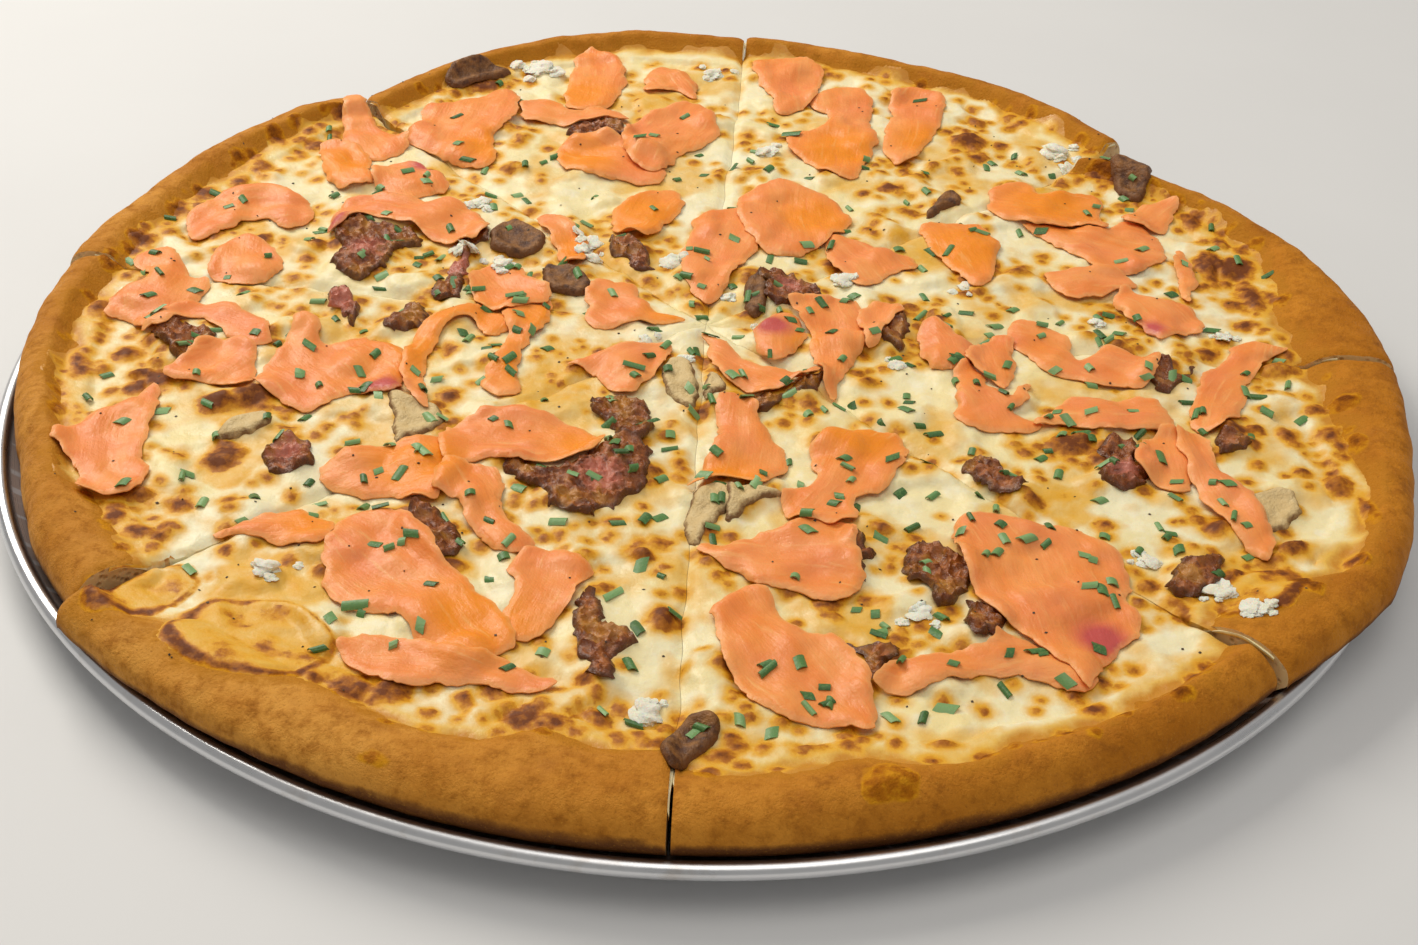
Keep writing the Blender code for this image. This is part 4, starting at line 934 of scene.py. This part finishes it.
def salmon_material():
    m = Shader("smoked_salmon", Subsurface_Weight=0.15, Subsurface_Scale=0.003, Specular_IOR_Level=0.35,
               Subsurface_Radius=(1.0, 0.4, 0.2))
    inputs = {"X": m.value("across"), "Y": m.value("along"), "Z": m.value("number")}
    fibre = m.node("ShaderNodeCombineXYZ", inputs)
    wide = m.noise(5.0 / MM, 3.0, 0.5, place=fibre, stretch=(1.0, 0.16, 3.0))
    thin = m.noise(1.7 / MM, 3.0, 0.6, place=fibre, stretch=(1.0, 0.12, 5.0))
    broad, fine = m.noise(16.0, 3.0), m.noise(1.1, 4.0, 0.6)
    colour = m.coats(
        (0.88, 0.26, 0.045),
        (wide, (0.35, 0.0), (0.65, 1.0), (0.93, 0.345, 0.095)),
        (broad, (0.4, 0.0), (0.7, 0.7), (0.84, 0.225, 0.070)),
        (m.value("orange"), (0.15, 0.0), (0.8, 0.95), (0.91, 0.265, 0.006)),
        (thin, (0.60, 0.0), (0.72, 0.4), (0.96, 0.52, 0.18)),
        (thin, (0.28, 0.45), (0.40, 0.0), (0.84, 0.22, 0.045)),
        (m.value("pink"), (0.25, 0.0), (0.8, 0.9), (0.50, 0.060, 0.070)),
        (m.uneven(m.value("thin"), fine, 0.8), (0.45, 0.0), (1.0, 0.45), (0.95, 0.46, 0.16)),
    )
    return m.finish(colour, m.ramp(fine, (0.3, 0.28), (0.7, 0.5)), m.weigh(thin, fine, 0.55), 0.4)


def bacon_material():
    m = Shader("crisp_bacon", Specular_IOR_Level=0.5, Subsurface_Weight=0.05, Subsurface_Scale=0.002)
    broad, mid, fine = m.noise(8.0, 3.0), m.noise(2.6, 4.0, 0.65), m.noise(0.8, 3.0, 0.65)
    colour = m.coats(
        (0.14, 0.030, 0.006),
        (mid, (0.35, 0.0), (0.65, 1.0), (0.42, 0.125, 0.018)),
        (broad, (0.5, 0.0), (0.66, 0.85), (0.50, 0.21, 0.022)),
        (m.uneven(m.value("thin"), mid, 1.5), (0.5, 0.0), (1.0, 0.85), (0.070, 0.020, 0.005)),
        (m.uneven(m.value("pink"), mid, 1.4), (0.45, 0.0), (0.9, 0.9), (0.56, 0.17, 0.11)),
        (fine, (0.62, 0.0), (0.74, 0.5), (0.55, 0.25, 0.08)),
    )
    return m.finish(colour, m.ramp(mid, (0.3, 0.16), (0.7, 0.42)), m.weigh(mid, fine, 0.6), 0.9)


def mushroom_material():
    m = Shader("roast_mushroom", Specular_IOR_Level=0.4)
    mid, fine = m.noise(3.0, 4.0, 0.6), m.noise(0.8, 3.0, 0.6)
    pale = m.mix(mid, (0.78, 0.62, 0.34), (0.58, 0.37, 0.12))
    dark = m.coats((0.080, 0.026, 0.008), (mid, (0.35, 0.0), (0.65, 1.0), (0.30, 0.125, 0.028)))
    colour = m.mix(m.value("pale"), dark, pale)
    edge = m.uneven(m.value("thin"), mid, 1.1)
    colour = m.coats(colour, (edge, (0.68, 0.0), (1.0, 0.85), (0.15, 0.055, 0.014)))
    return m.finish(colour, m.ramp(fine, (0.3, 0.4), (0.7, 0.65)), m.math("ADD", mid, fine), 0.5)


def chive_material():
    m = Shader("chopped_chive", Subsurface_Weight=0.1, Subsurface_Scale=0.001, Roughness=0.45)
    colour = m.ramp(m.value("tone"), (0.0, (0.035, 0.115, 0.022)), (0.5, (0.085, 0.22, 0.055)),
                    (1.0, (0.24, 0.41, 0.16)))
    streak = m.noise(0.5, 2.0)
    colour = m.coats(colour, (streak, (0.5, 0.0), (0.75, 0.5), (0.22, 0.36, 0.10)))
    return m.finish(colour, m.ramp(streak, (0.3, 0.35), (0.7, 0.55)), streak, 0.1)


def crumble_material():
    m = Shader("crumbly_cheese", Subsurface_Weight=0.2, Subsurface_Scale=0.002)
    mid, fine = m.noise(3.0, 4.0), m.noise(0.7, 4.0, 0.7)
    colour = m.coats((0.93, 0.89, 0.76), (mid, (0.4, 0.0), (0.75, 0.7), (0.90, 0.78, 0.52)))
    return m.finish(colour, m.ramp(fine, (0.3, 0.5), (0.7, 0.7)), fine, 0.5)


def pepper_material():
    m = Shader("ground_pepper", Roughness=0.6)
    speck = m.noise(0.4, 2.0)
    colour = m.ramp(speck, (0.3, (0.02, 0.014, 0.008)), (0.7, (0.10, 0.055, 0.025)))
    return m.finish(colour, m.ramp(speck, (0.3, 0.5), (0.7, 0.8)), speck, 0.1)


# Pan

def pan_profile():
    """Section of the pan from the middle of the floor, over the bead and back under it."""
    bead = []
    for angle in range(172, -136, -12):
        c, s = direction(angle)
        bead.append((RIM_RADIUS + (BEAD_RADIUS - 0.04) * c, RIM_HEIGHT + (BEAD_RADIUS - 0.04) * s))
    return [*PAN_INSIDE, *bead, *PAN_OUTSIDE]


def build_pan():
    """The section turned about the middle, a little out of true at its rim."""
    section = pan_profile()
    body = section[1:-1]
    count = len(body)
    points = [(0.0, 0.0, section[0][1]), (0.0, 0.0, section[-1][1])]
    faces = []
    for step in range(PAN_SEGMENTS):
        c, s = direction(360.0 * step / PAN_SEGMENTS)
        dent = 0.12 * float(rough(160.0 * c, 160.0 * s, 40.0, 51))
        points += [(r * c, r * s, z + dent * step_up(r, 158.0, RIM_RADIUS)) for r, z in body]
        here, after = 2 + step * count, 2 + (step + 1) % PAN_SEGMENTS * count
        faces += [(0, here, after), (1, after + count - 1, here + count - 1)]
        faces += [(here + k, here + k + 1, after + k + 1, after + k) for k in range(count - 1)]
    # Points of the inner wall, which get the painted reflection of the crust and the painted highlight
    # streaks
    wall = [float(k < len(PAN_INSIDE) and WALL_RADII[0] < r < WALL_RADII[1]) for k, (r, _) in enumerate(body)]
    turn = np.repeat(np.arange(PAN_SEGMENTS), count)
    values = {"wall": [0.0, 0.0] + wall * PAN_SEGMENTS, "turn": [0, 0] + turn.tolist()}
    add_piece("pan_spun", points, faces, [pan_material()], ["pan"], values, 60.0)


# Slices

def crust_rays(k):
    """Points of one slice's crust in plan, on rays from its tip, and how far in from the edge they are."""
    start, end = SLICES[k]
    tip = slice_tip(k)
    angles = np.linspace(start, end, int(math.radians(end - start) * MEAN_RADIUS / CRUST_STEP))
    wavy = 0.45 * rough(np.radians(angles) * MEAN_RADIUS, k * 50.0, 14.0, 61) - 0.2
    edges = (edge_from(tip, k, angles) + wavy)[:, None]
    outer = np.concatenate([[0.0, 0.08, 0.3, 0.65, 1.1, 1.7], np.arange(2.4, CRUST_BAND, 0.9)])
    inner = CRUST_BAND + (edges - CRUST_BAND) * np.linspace(0.0, 1.0, 8)[1:]
    s = np.hstack([np.tile(outer, (len(angles), 1)), inner])
    turns = np.radians(angles)[:, None]
    return tip[0] + (edges - s) * np.cos(turns), tip[1] + (edges - s) * np.sin(turns), s


def crust_skin(k, x, y, s):
    """Top and bottom of one slice's crust, and the values that colour each of them."""
    angle, inset, _, ledge = in_slice(k, x, y)
    top = crust_height(x, y, np.maximum(inset, 0.0), s, ledge)
    top = np.where(s > CRUST_BAND, DOUGH_TOP, np.maximum(top, DOUGH_TOP))
    top += 0.12 * rough(x, y, 3.0, 62) * step_up(s, 1.0, 6.0)
    under, middle = crust_bottom(x, y), crust_middle(x, y)
    bottom = under + (middle - under) * np.clip(1.0 - s / 2.4, 0.0, 1.0) ** 3
    bottom += 0.25 * rough(x, y, 5.0, 63) * step_up(3.0 - s, 0.0, 2.0) * step_up(s, 0.0, 0.6)
    bottom[:, 0] = top[:, 0]
    turn = wrapped(angle)
    above = (top - middle[:, :1]) / (along(DARK_EDGE, turn) * (1.0 + 0.4 * noise(x, y, 9.0, 64)))
    upper = {
        "low": step_up(1.0 - above, 0.0, 0.7) * step_up(6.0 - s, 0.0, 4.0),
        "near": step_up(inside_cheese(x, y, s, ledge), -7.0, 1.0),
        "brown": sample(brown, x, y) * step_up(s, 1.0, 4.0),
        # Painted light: how much of the crust's lit, paler colour shows at this angle round the rim
        "pale": along(CRUST_PAINTED_LIGHT, turn),
    }
    lower = {"low": np.ones(s.shape), "near": 0.0 * s, "brown": 0.0 * s, "pale": upper["pale"]}
    return top, bottom, upper, lower


def cut_side(points, lows, highs, flip):
    """Add the points of one cut side between a lower and an upper row, and give its faces."""
    columns = []
    for i, (low, high) in enumerate(zip(lows, highs)):
        column = [high] * (SIDE_LEVELS + 1)
        if i:
            a, b = np.array(points[low]), np.array(points[high])
            column = [low, *range(len(points), len(points) + SIDE_LEVELS - 1), high]
            points += [(a + (b - a) * level / SIDE_LEVELS).tolist() for level in range(1, SIDE_LEVELS)]
        columns.append(column)
    faces = []
    for here, after in zip(columns, columns[1:]):
        for level in range(SIDE_LEVELS):
            quad = (here[level], here[level + 1], after[level + 1], after[level])
            quad = tuple(dict.fromkeys(quad if flip else quad[::-1]))
            if len(quad) > 2:
                faces.append(quad)
    return faces


def build_crust(k, materials):
    """Dough and crust of one slice, with cut sides."""
    x, y, s = crust_rays(k)
    top, bottom, upper, lower = crust_skin(k, x, y, s)
    tops = np.arange(s.size).reshape(s.shape)
    bottoms = tops + s.size
    bottoms[:, 0] = tops[:, 0]
    points = np.stack([[x, y, top], [x, y, bottom]]).transpose(0, 2, 3, 1).reshape(-1, 3).tolist()
    faces = []
    for layer, order in ((tops, (0, 1, 2, 3)), (bottoms, (0, 3, 2, 1))):
        corners = layer[:-1, :-1], layer[1:, :-1], layer[1:, 1:], layer[:-1, 1:]
        quads = np.stack([corners[i] for i in order], -1).reshape(-1, 4)
        faces += [tuple(dict.fromkeys(quad)) for quad in quads.tolist()]
    skin = len(faces)
    for row, flip in ((0, False), (-1, True)):
        faces += cut_side(points, bottoms[row].tolist(), tops[row].tolist(), flip)
    rest = np.zeros(len(points) - 2 * s.size)
    values = {key: np.concatenate([upper[key].ravel(), lower[key].ravel(), rest]) for key in upper}
    which = [0] * skin + [1] * (len(faces) - skin)
    name, node = "crust_slice_%d" % (k + 1), "crust_%d" % (k + 1)
    add_piece(name, points, faces, materials, [node], values, 50.0, which)


def wander(x, y):
    """Shift points a little so that the seams between slices aren't straight."""
    return x + 0.8 * noise(x, y, 13.0, 91), y + 0.8 * noise(x, y, 13.0, 92)


def cheese_loop(k, tip, span, reach):
    """Outline of one slice's cheese: along one cut, round the outer edge and back along the other."""
    sides = []
    for angle, cut in zip(span, SLICES[k]):
        marks = np.linspace(0.0, reach(angle), int(reach(angle) / CHEESE_STEP))
        turns = np.radians(angle + (cut - angle) * step_up(marks, marks[-1] - 34.0, marks[-1] - 14.0))
        sides.append(np.column_stack([tip[0] + marks * np.cos(turns), tip[1] + marks * np.sin(turns)]))
    angles = np.linspace(*SLICES[k], int(math.radians(span[1] - span[0]) * 165.0 / CHEESE_STEP))
    arc = [(tip[0] + reach(a) * direction(a)[0], tip[1] + reach(a) * direction(a)[1]) for a in angles]
    return np.concatenate([sides[0], arc[1:-1], sides[1][::-1][:-1]])


def build_cheese(k, material):
    """Melted cheese of one slice."""
    start, end = span = seams(k)
    tip = slice_tip(k, HALF_SEAM, span)
    marks = np.linspace(start, end, 60)

    def reach(angle):
        bare = along(LEDGE, wrapped(angle)) - (SPILL_REACH if k in SPILLING else CHEESE_REACH)
        return float(edge_from(tip, k, angle)) - max(float(bare), LEAST_BARE)

    def fill(step, gap):
        points = lattice(loop.min(0), loop.max(0), step)
        angle, inset, _, _ = in_slice(k, points[:, 0], points[:, 1], HALF_SEAM, span)
        limit = np.interp(angle, marks, reaches) - gap
        distance = np.hypot(points[:, 0] - tip[0], points[:, 1] - tip[1])
        return fill_plan(loop, points[(angle > start) & (angle < end) & (inset > gap) & (distance < limit)])

    reaches = [reach(angle) for angle in marks]
    loop = cheese_loop(k, tip, span, reach)
    (plan, faces), (below, low_faces) = fill(CHEESE_STEP, 0.6 * CHEESE_STEP), fill(5.0, 3.0)
    x, y = plan.T
    _, inset, s, ledge = in_slice(k, x, y, HALF_SEAM, span)
    top = cheese_height(x, y, np.maximum(inset, 0.0), s, ledge)
    x, y = wander(x, y)
    rim = 1.0 - step_up(inside_cheese(x, y, s, ledge), 0.0, 9.0)
    values = {"brown": sample(brown, x, y), "gold": sample(gold, x, y), "rim": rim}
    bx, by = below.T
    _, _, s, ledge = in_slice(k, bx, by, HALF_SEAM, span)
    film = crust_height(bx, by, np.full(len(bx), 9.0), s, ledge) - 1.6
    floor = np.where(s > ledge + 1.0, CHEESE_BOTTOM, film)
    points = np.concatenate([np.column_stack([x, y, top]), np.column_stack([*wander(bx, by), floor])])
    count = len(plan)
    faces = faces + [(c + count, b + count, a + count) for a, b, c in low_faces]
    faces += [(b, a, a + count, b + count) for a, b in zip(range(len(loop)), [*range(1, len(loop)), 0])]
    values = {key: np.concatenate([value, np.zeros(len(below))]) for key, value in values.items()}
    name, node = "cheese_slice_%d" % (k + 1), "cheese_%d" % (k + 1)
    add_piece(name, points, faces, [material], [node], values)


# Toppings

def near_spots(x, y, spots):
    """How close points are to the nearest of some round spots, from 0 to 1."""
    best = np.zeros(np.shape(x))
    for sx, sy, radius in spots:
        best = np.maximum(best, np.exp(-((x - sx) ** 2 + (y - sy) ** 2) / radius ** 2))
    return best


def lay_sheet(heap, outline, number, step, round_off, limp, shape, torn, sunk=0.0, **values):
    """Drape one thin piece over what is there and raise the ground to its top."""
    loop = rounded(outline, step, torn, 200 + 9 * number)
    part = window(loop[:, 0], loop[:, 1], 5.0)
    gx, gy, floor = GRID_X[part], GRID_Y[part], ground[part]
    coarse = loop[::max(1, int(1.5 / step))]
    d = from_edge(gx, gy, coarse)
    bottom, top = shape(gx, gy, d, spread_and_soften(floor, limp), number)
    bottom = np.maximum(bottom, floor + 0.06) - sunk
    rim = np.sqrt(np.clip(1.0 - (1.0 - np.clip(d / round_off, 0.0, 1.0)) ** 2, 0.0, 1.0))
    top = bottom + np.maximum(top * rim, 0.16)
    low = lattice(loop.min(0), loop.max(0), step)
    plan, faces = fill_plan(loop, low[from_edge(low[:, 0], low[:, 1], coarse) > 0.6 * step])
    x, y = plan.T
    below, above = (sample(field, x, y, gx[0, 0], gy[0, 0]) for field in (bottom, top))
    above = np.maximum(above, below + 0.12)
    points = np.concatenate([np.column_stack([x, y, below]), np.column_stack([x, y, above])])
    centre = np.mean(loop, axis=0)
    axis = np.linalg.svd(loop - centre, full_matrices=False)[2][0]
    across = (y - centre[1]) * axis[0] - (x - centre[0]) * axis[1] + 2.5 * noise(x, y, 18.0, number)
    everything = {
        "thin": 1.0 - step_up(from_edge(x, y, coarse), 0.0, 2.5),
        "across": across,
        "along": (x - centre[0]) * axis[0] + (y - centre[1]) * axis[1],
        "number": number,
    }
    everything.update({key: value(x, y) if callable(value) else value for key, value in values.items()})
    doubled = {key: np.tile(np.broadcast_to(value, len(x)), 2) for key, value in everything.items()}
    heap.add(points, slab_faces(faces, len(plan)), **doubled)
    ground[part] = np.where(d > 0.2, np.maximum(floor, top), floor)


def salmon_shape(x, y, d, support, number):
    """Sagging sheet with long soft folds and edges that lift here and there."""
    turn = math.radians(37.0 * number)
    u, v = x * math.cos(turn) + y * math.sin(turn), y * math.cos(turn) - x * math.sin(turn)
    fold = 0.5 + 0.5 * noise(u / 2.4, v, 8.0, 300 + number)
    lift = 1.5 * fold ** 2.5 + 0.3 * np.abs(noise(x, y, 5.0, 400 + number))
    curl = np.clip(noise(x, y, 14.0, 500 + number) - 0.1, 0.0, 1.0) * (1.0 - step_up(d, 0.0, 6.0))
    sheet = SALMON_SHEET * (0.72 + 0.2 * noise(x, y, 9.0, 600 + number))
    return support + 0.05 + lift * step_up(d, -0.5, 5.0) + 2.2 * curl, sheet


def bacon_shape(x, y, d, support, number):
    """Craggy crisp piece with curled edges."""
    crag = 1.0 - np.abs(rough(x, y, 4.5, 700 + number))
    lift = 1.3 * np.clip(noise(x, y, 8.0, 800 + number), 0.0, 1.0)
    curl = 1.2 * np.clip(noise(x, y, 6.0, 850 + number), 0.0, 1.0) * (1.0 - step_up(d, 0.0, 2.5))
    return support + 0.05 + lift + curl, BACON_SHEET * (0.25 + 0.85 * crag ** 3)


def mushroom_shape(x, y, d, support, number):
    """Slice with a thick edge and a shrunken middle."""
    hollow = 0.95 - 0.35 * step_up(d, 1.2, 4.0) + 0.12 * rough(x, y, 4.0, 900 + number)
    lift = 0.7 * np.clip(noise(x, y, 9.0, 950 + number), 0.0, 1.0)
    return support + 0.05 + lift, (PALE_SHEET if number in PALE_MUSHROOMS else MUSHROOM_SHEET) * hollow


def build_toppings():
    """Mushrooms, then bacon, then salmon, each kind as one object."""
    heap = Heap()
    for n, outline in enumerate(MUSHROOM):
        pale = float(n in PALE_MUSHROOMS)
        lay_sheet(heap, outline, n, 0.6, 1.7, 1.0, mushroom_shape, 0.9, 0.2 + 0.4 * pale, pale=pale)
    finish_heap("mushrooms", heap, mushroom_material(), "mushroom")
    heap = Heap()
    for n, outline in enumerate(BACON):
        lay_sheet(heap, outline, n, 0.55, 1.0, 1.0, bacon_shape, 1.9, 0.5,
                  pink=lambda x, y: near_spots(x, y, PINK))
    finish_heap("bacon", heap, bacon_material(), "bacon")
    heap = Heap()
    for n, outline in enumerate(SALMON):
        lay_sheet(heap, outline, n, 0.97, 1.6, 1.5, salmon_shape, 1.0,
                  orange=lambda x, y: near_spots(x, y, ORANGE), pink=lambda x, y: near_spots(x, y, BLUSH))
    finish_heap("smoked_salmon", heap, salmon_material(), "salmon")


def finish_heap(name, heap, material, slot=None):
    """Turn a heap into one object that stands for the nodes of its kind."""
    nodes = [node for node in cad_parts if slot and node.startswith(slot + "_")]
    add_piece(name, heap.points, heap.faces, [material], nodes, heap.values)


# Small things

def slope_at(x, y):
    """Normal of the ground, smoothed over a few cells."""
    reach = 1.2
    dx = float(sample(ground, x + reach, y) - sample(ground, x - reach, y)) / (2 * reach)
    dy = float(sample(ground, x, y + reach) - sample(ground, x, y - reach)) / (2 * reach)
    dx, dy = max(-1.0, min(1.0, dx)), max(-1.0, min(1.0, dy))
    return Vector((-dx, -dy, 1.0)).normalized()


def settle(x, y, turn):
    """Matrix that sets a small thing down on the food."""
    up = slope_at(x, y)
    side = Vector((math.cos(turn), math.sin(turn), 0.0)).cross(up).normalized()
    ahead = up.cross(side).normalized()
    matrix = Matrix((ahead, side, up)).transposed().to_4x4()
    matrix.translation = Vector((x, y, float(sample(ground, x, y))))
    return matrix


def build_crumbles():
    heap = Heap()
    for cx, cy, size in CRUMBLES:
        for piece in range(int(2 + 0.8 * size)):
            spread = 0.5 * size * min(1.0, piece / 2)
            x, y = cx + rng.normal(0.0, spread), cy + rng.normal(0.0, spread)
            radius = rng.uniform(0.45, 0.6) * size if piece == 0 else rng.uniform(0.15, 0.34) * size
            squash, seed = rng.uniform(0.3, 0.48), int(rng.integers(1, 9999))
            points, faces = ball(radius, squash, seed)
            base = settle(x, y, rng.uniform(0.0, 6.3))
            heap.add([base @ Vector(p) for p in points], faces)
    finish_heap("crumbles", heap, crumble_material())


def ball(radius, squash, seed):
    """Knobbly chunk built from rings, sunk a little where it lies."""
    rings, around = 14, 24
    points, faces = [(0.0, 0.0, -0.35 * radius)], []
    for ring in range(1, rings):
        across, z = direction(180.0 * ring / rings - 90.0)
        for k in range(around):
            c, s = direction(360.0 * k / around)
            x, y = across * c, across * s
            bump = 1.0 + 0.55 * float(noise(1.3 * x + z, 1.3 * y - z, 1.0, seed))
            bump += 0.22 * float(noise(4 * x + 3 * z, 4 * y - 3 * z, 1.0, seed + 1))
            points.append((radius * bump * x, radius * bump * y, radius * squash * (bump * z + 0.35)))
    points.append((0.0, 0.0, radius * squash * 1.35))
    last = 1 + (rings - 2) * around
    for k in range(around):
        after = (k + 1) % around
        faces += [(0, 1 + after, 1 + k), (len(points) - 1, last + k, last + after)]
        for a in range(1, last, around):
            faces.append((a + k, a + after, a + around + after, a + around + k))
    return points, faces


def chive_flake(length, width, bend, skew):
    """Small piece cut from a hollow leaf: a thin curled strip."""
    points, faces = [], []
    across, thick = 5, 0.35
    for layer in (0, 1):
        for i in range(4):
            for j in range(across):
                u, v = i / 3 - 0.5, j / (across - 1) - 0.5
                radius = width / 2 + layer * thick
                arc = v * bend
                x = length * u + skew * v * width
                y = radius * math.sin(arc) * 2 / max(bend, 0.8)
                z = radius * (math.cos(arc) - math.cos(bend / 2)) * 2 / max(bend, 0.8)
                points.append((x, y, z + layer * 0.3 * thick + 0.1))
    half = 4 * across
    for i in range(3):
        for j in range(across - 1):
            a = i * across + j
            faces.append((a, a + 1, a + across + 1, a + across))
            faces.append((half + a, half + a + across, half + a + across + 1, half + a + 1))
    rim = [*range(across), 2 * across - 1, 3 * across - 1]
    rim += [*range(half - 1, half - across - 1, -1), 2 * across, across]
    for a, b in zip(rim, rim[1:] + rim[:1]):
        faces.append((b, a, a + half, b + half))
    return points, faces


def scatter_chives():
    heap = Heap()
    shares = np.array([row[3] for row in CHIVE_FALL])
    made = 0
    while made < CHIVE_COUNT:
        fall = CHIVE_FALL[int(rng.choice(len(CHIVE_FALL), p=shares / shares.sum()))]
        x, y = rng.normal(fall[0], fall[2]), rng.normal(fall[1], fall[2])
        if math.dist((x, y), CUT_CENTRE) > CHIVE_RADIUS or float(sample(ground, x, y)) < LOWEST_FOOD:
            continue
        length = rng.uniform(1.8, 4.2) if rng.uniform() < 0.93 else rng.uniform(4.2, 6.0)
        shape = chive_flake(length, rng.uniform(1.3, 2.5), rng.uniform(0.6, 3.4), rng.uniform(-0.7, 0.7))
        base = settle(x, y, rng.uniform(0.0, 6.3))
        heap.add([base @ Vector(p) for p in shape[0]], shape[1], tone=rng.uniform())
        made += 1
    finish_heap("chives", heap, chive_material())


def scatter_pepper():
    heap = Heap()
    corners = np.array([(1, 0, 0), (0, 1, 0), (-1, 0, 0), (0, -1, 0), (0, 0, 1), (0, 0, -1)])
    sides = [(0, 1, 4), (1, 2, 4), (2, 3, 4), (3, 0, 4), (1, 0, 5), (2, 1, 5), (3, 2, 5), (0, 3, 5)]
    for _ in range(PEPPER_COUNT):
        x, y = rng.uniform(-150.0, 150.0), rng.uniform(-140.0, 160.0)
        size = rng.uniform(0.25, 0.55, 3) * (1.0, 0.8, 0.5)
        base = settle(x, y, rng.uniform(0.0, 6.3))
        if base.translation.z < LOWEST_FOOD:
            continue
        grain = [Vector((*(corner * size),)) + Vector((0.0, 0.0, 0.1)) for corner in corners]
        heap.add([base @ point for point in grain], sides)
    finish_heap("pepper", heap, pepper_material())


# Stage

def build_camera():
    back = Vector((0.0, -math.cos(ELEVATION), math.sin(ELEVATION)))
    right = Vector((1.0, 0.0, 0.0))
    up = back.cross(right)
    tilted = math.cos(ROLL) * right + math.sin(ROLL) * up
    upright = -math.sin(ROLL) * right + math.cos(ROLL) * up
    data = bpy.data.cameras.new("camera")
    data.sensor_width = SENSOR
    data.lens = FOCAL_PIXELS / PHOTO_WIDTH * SENSOR
    data.clip_start = 0.01
    camera = bpy.data.objects.new("camera", data)
    matrix = Matrix((tilted, upright, back)).transposed().to_4x4()
    matrix.translation = (Vector(TARGET) + back * DISTANCE) * MM
    camera.matrix_world = matrix
    bpy.context.scene.camera = linked(camera)


def add_light(name, place, size, power, colour):
    data = bpy.data.lights.new(name, "AREA")
    data.size = size
    data.energy = power
    data.color = colour
    light = bpy.data.objects.new(name, data)
    light.location = place
    light.rotation_mode = "QUATERNION"
    light.rotation_quaternion = (-Vector(place)).to_track_quat("-Z", "Y")
    linked(light)


def build_stage():
    """Pale floor, soft lights and an even sky."""
    mesh = bpy.data.meshes.new("floor")
    mesh.from_pydata([(-4, -4, 0), (4, -4, 0), (4, 4, 0), (-4, 4, 0)], [], [(0, 1, 2, 3)])
    m = Shader("pale_floor", Roughness=0.6)
    mesh.materials.append(m.finish(m.mix(m.noise(90.0, 3.0), (0.66, 0.66, 0.66), (0.70, 0.70, 0.70))))
    floor = linked(bpy.data.objects.new("floor", mesh))
    add_light("key", (-0.60, 0.70, 0.90), 0.7, 12.0, (1.0, 0.95, 0.86))
    add_light("top", (0.15, -0.25, 1.3), 1.0, 5.1, (1.0, 0.96, 0.90))
    world = bpy.data.worlds.new("sky")
    world.use_nodes = True
    background = world.node_tree.nodes["Background"].inputs
    background["Color"].default_value = (1.0, 0.975, 0.94, 1.0)
    background["Strength"].default_value = 0.35
    bpy.context.scene.world = world
    bpy.context.scene.view_settings.view_transform = "Standard"


brown_the_cheese()
fill_ground()
build_camera()
build_stage()
build_pan()
crust_looks = [crust_material(), crumb_material()]
cheese_look = cheese_material()
for slice_number in range(len(SLICES)):
    build_crust(slice_number, crust_looks)
    build_cheese(slice_number, cheese_look)
build_toppings()
build_crumbles()
scatter_pepper()
scatter_chives()
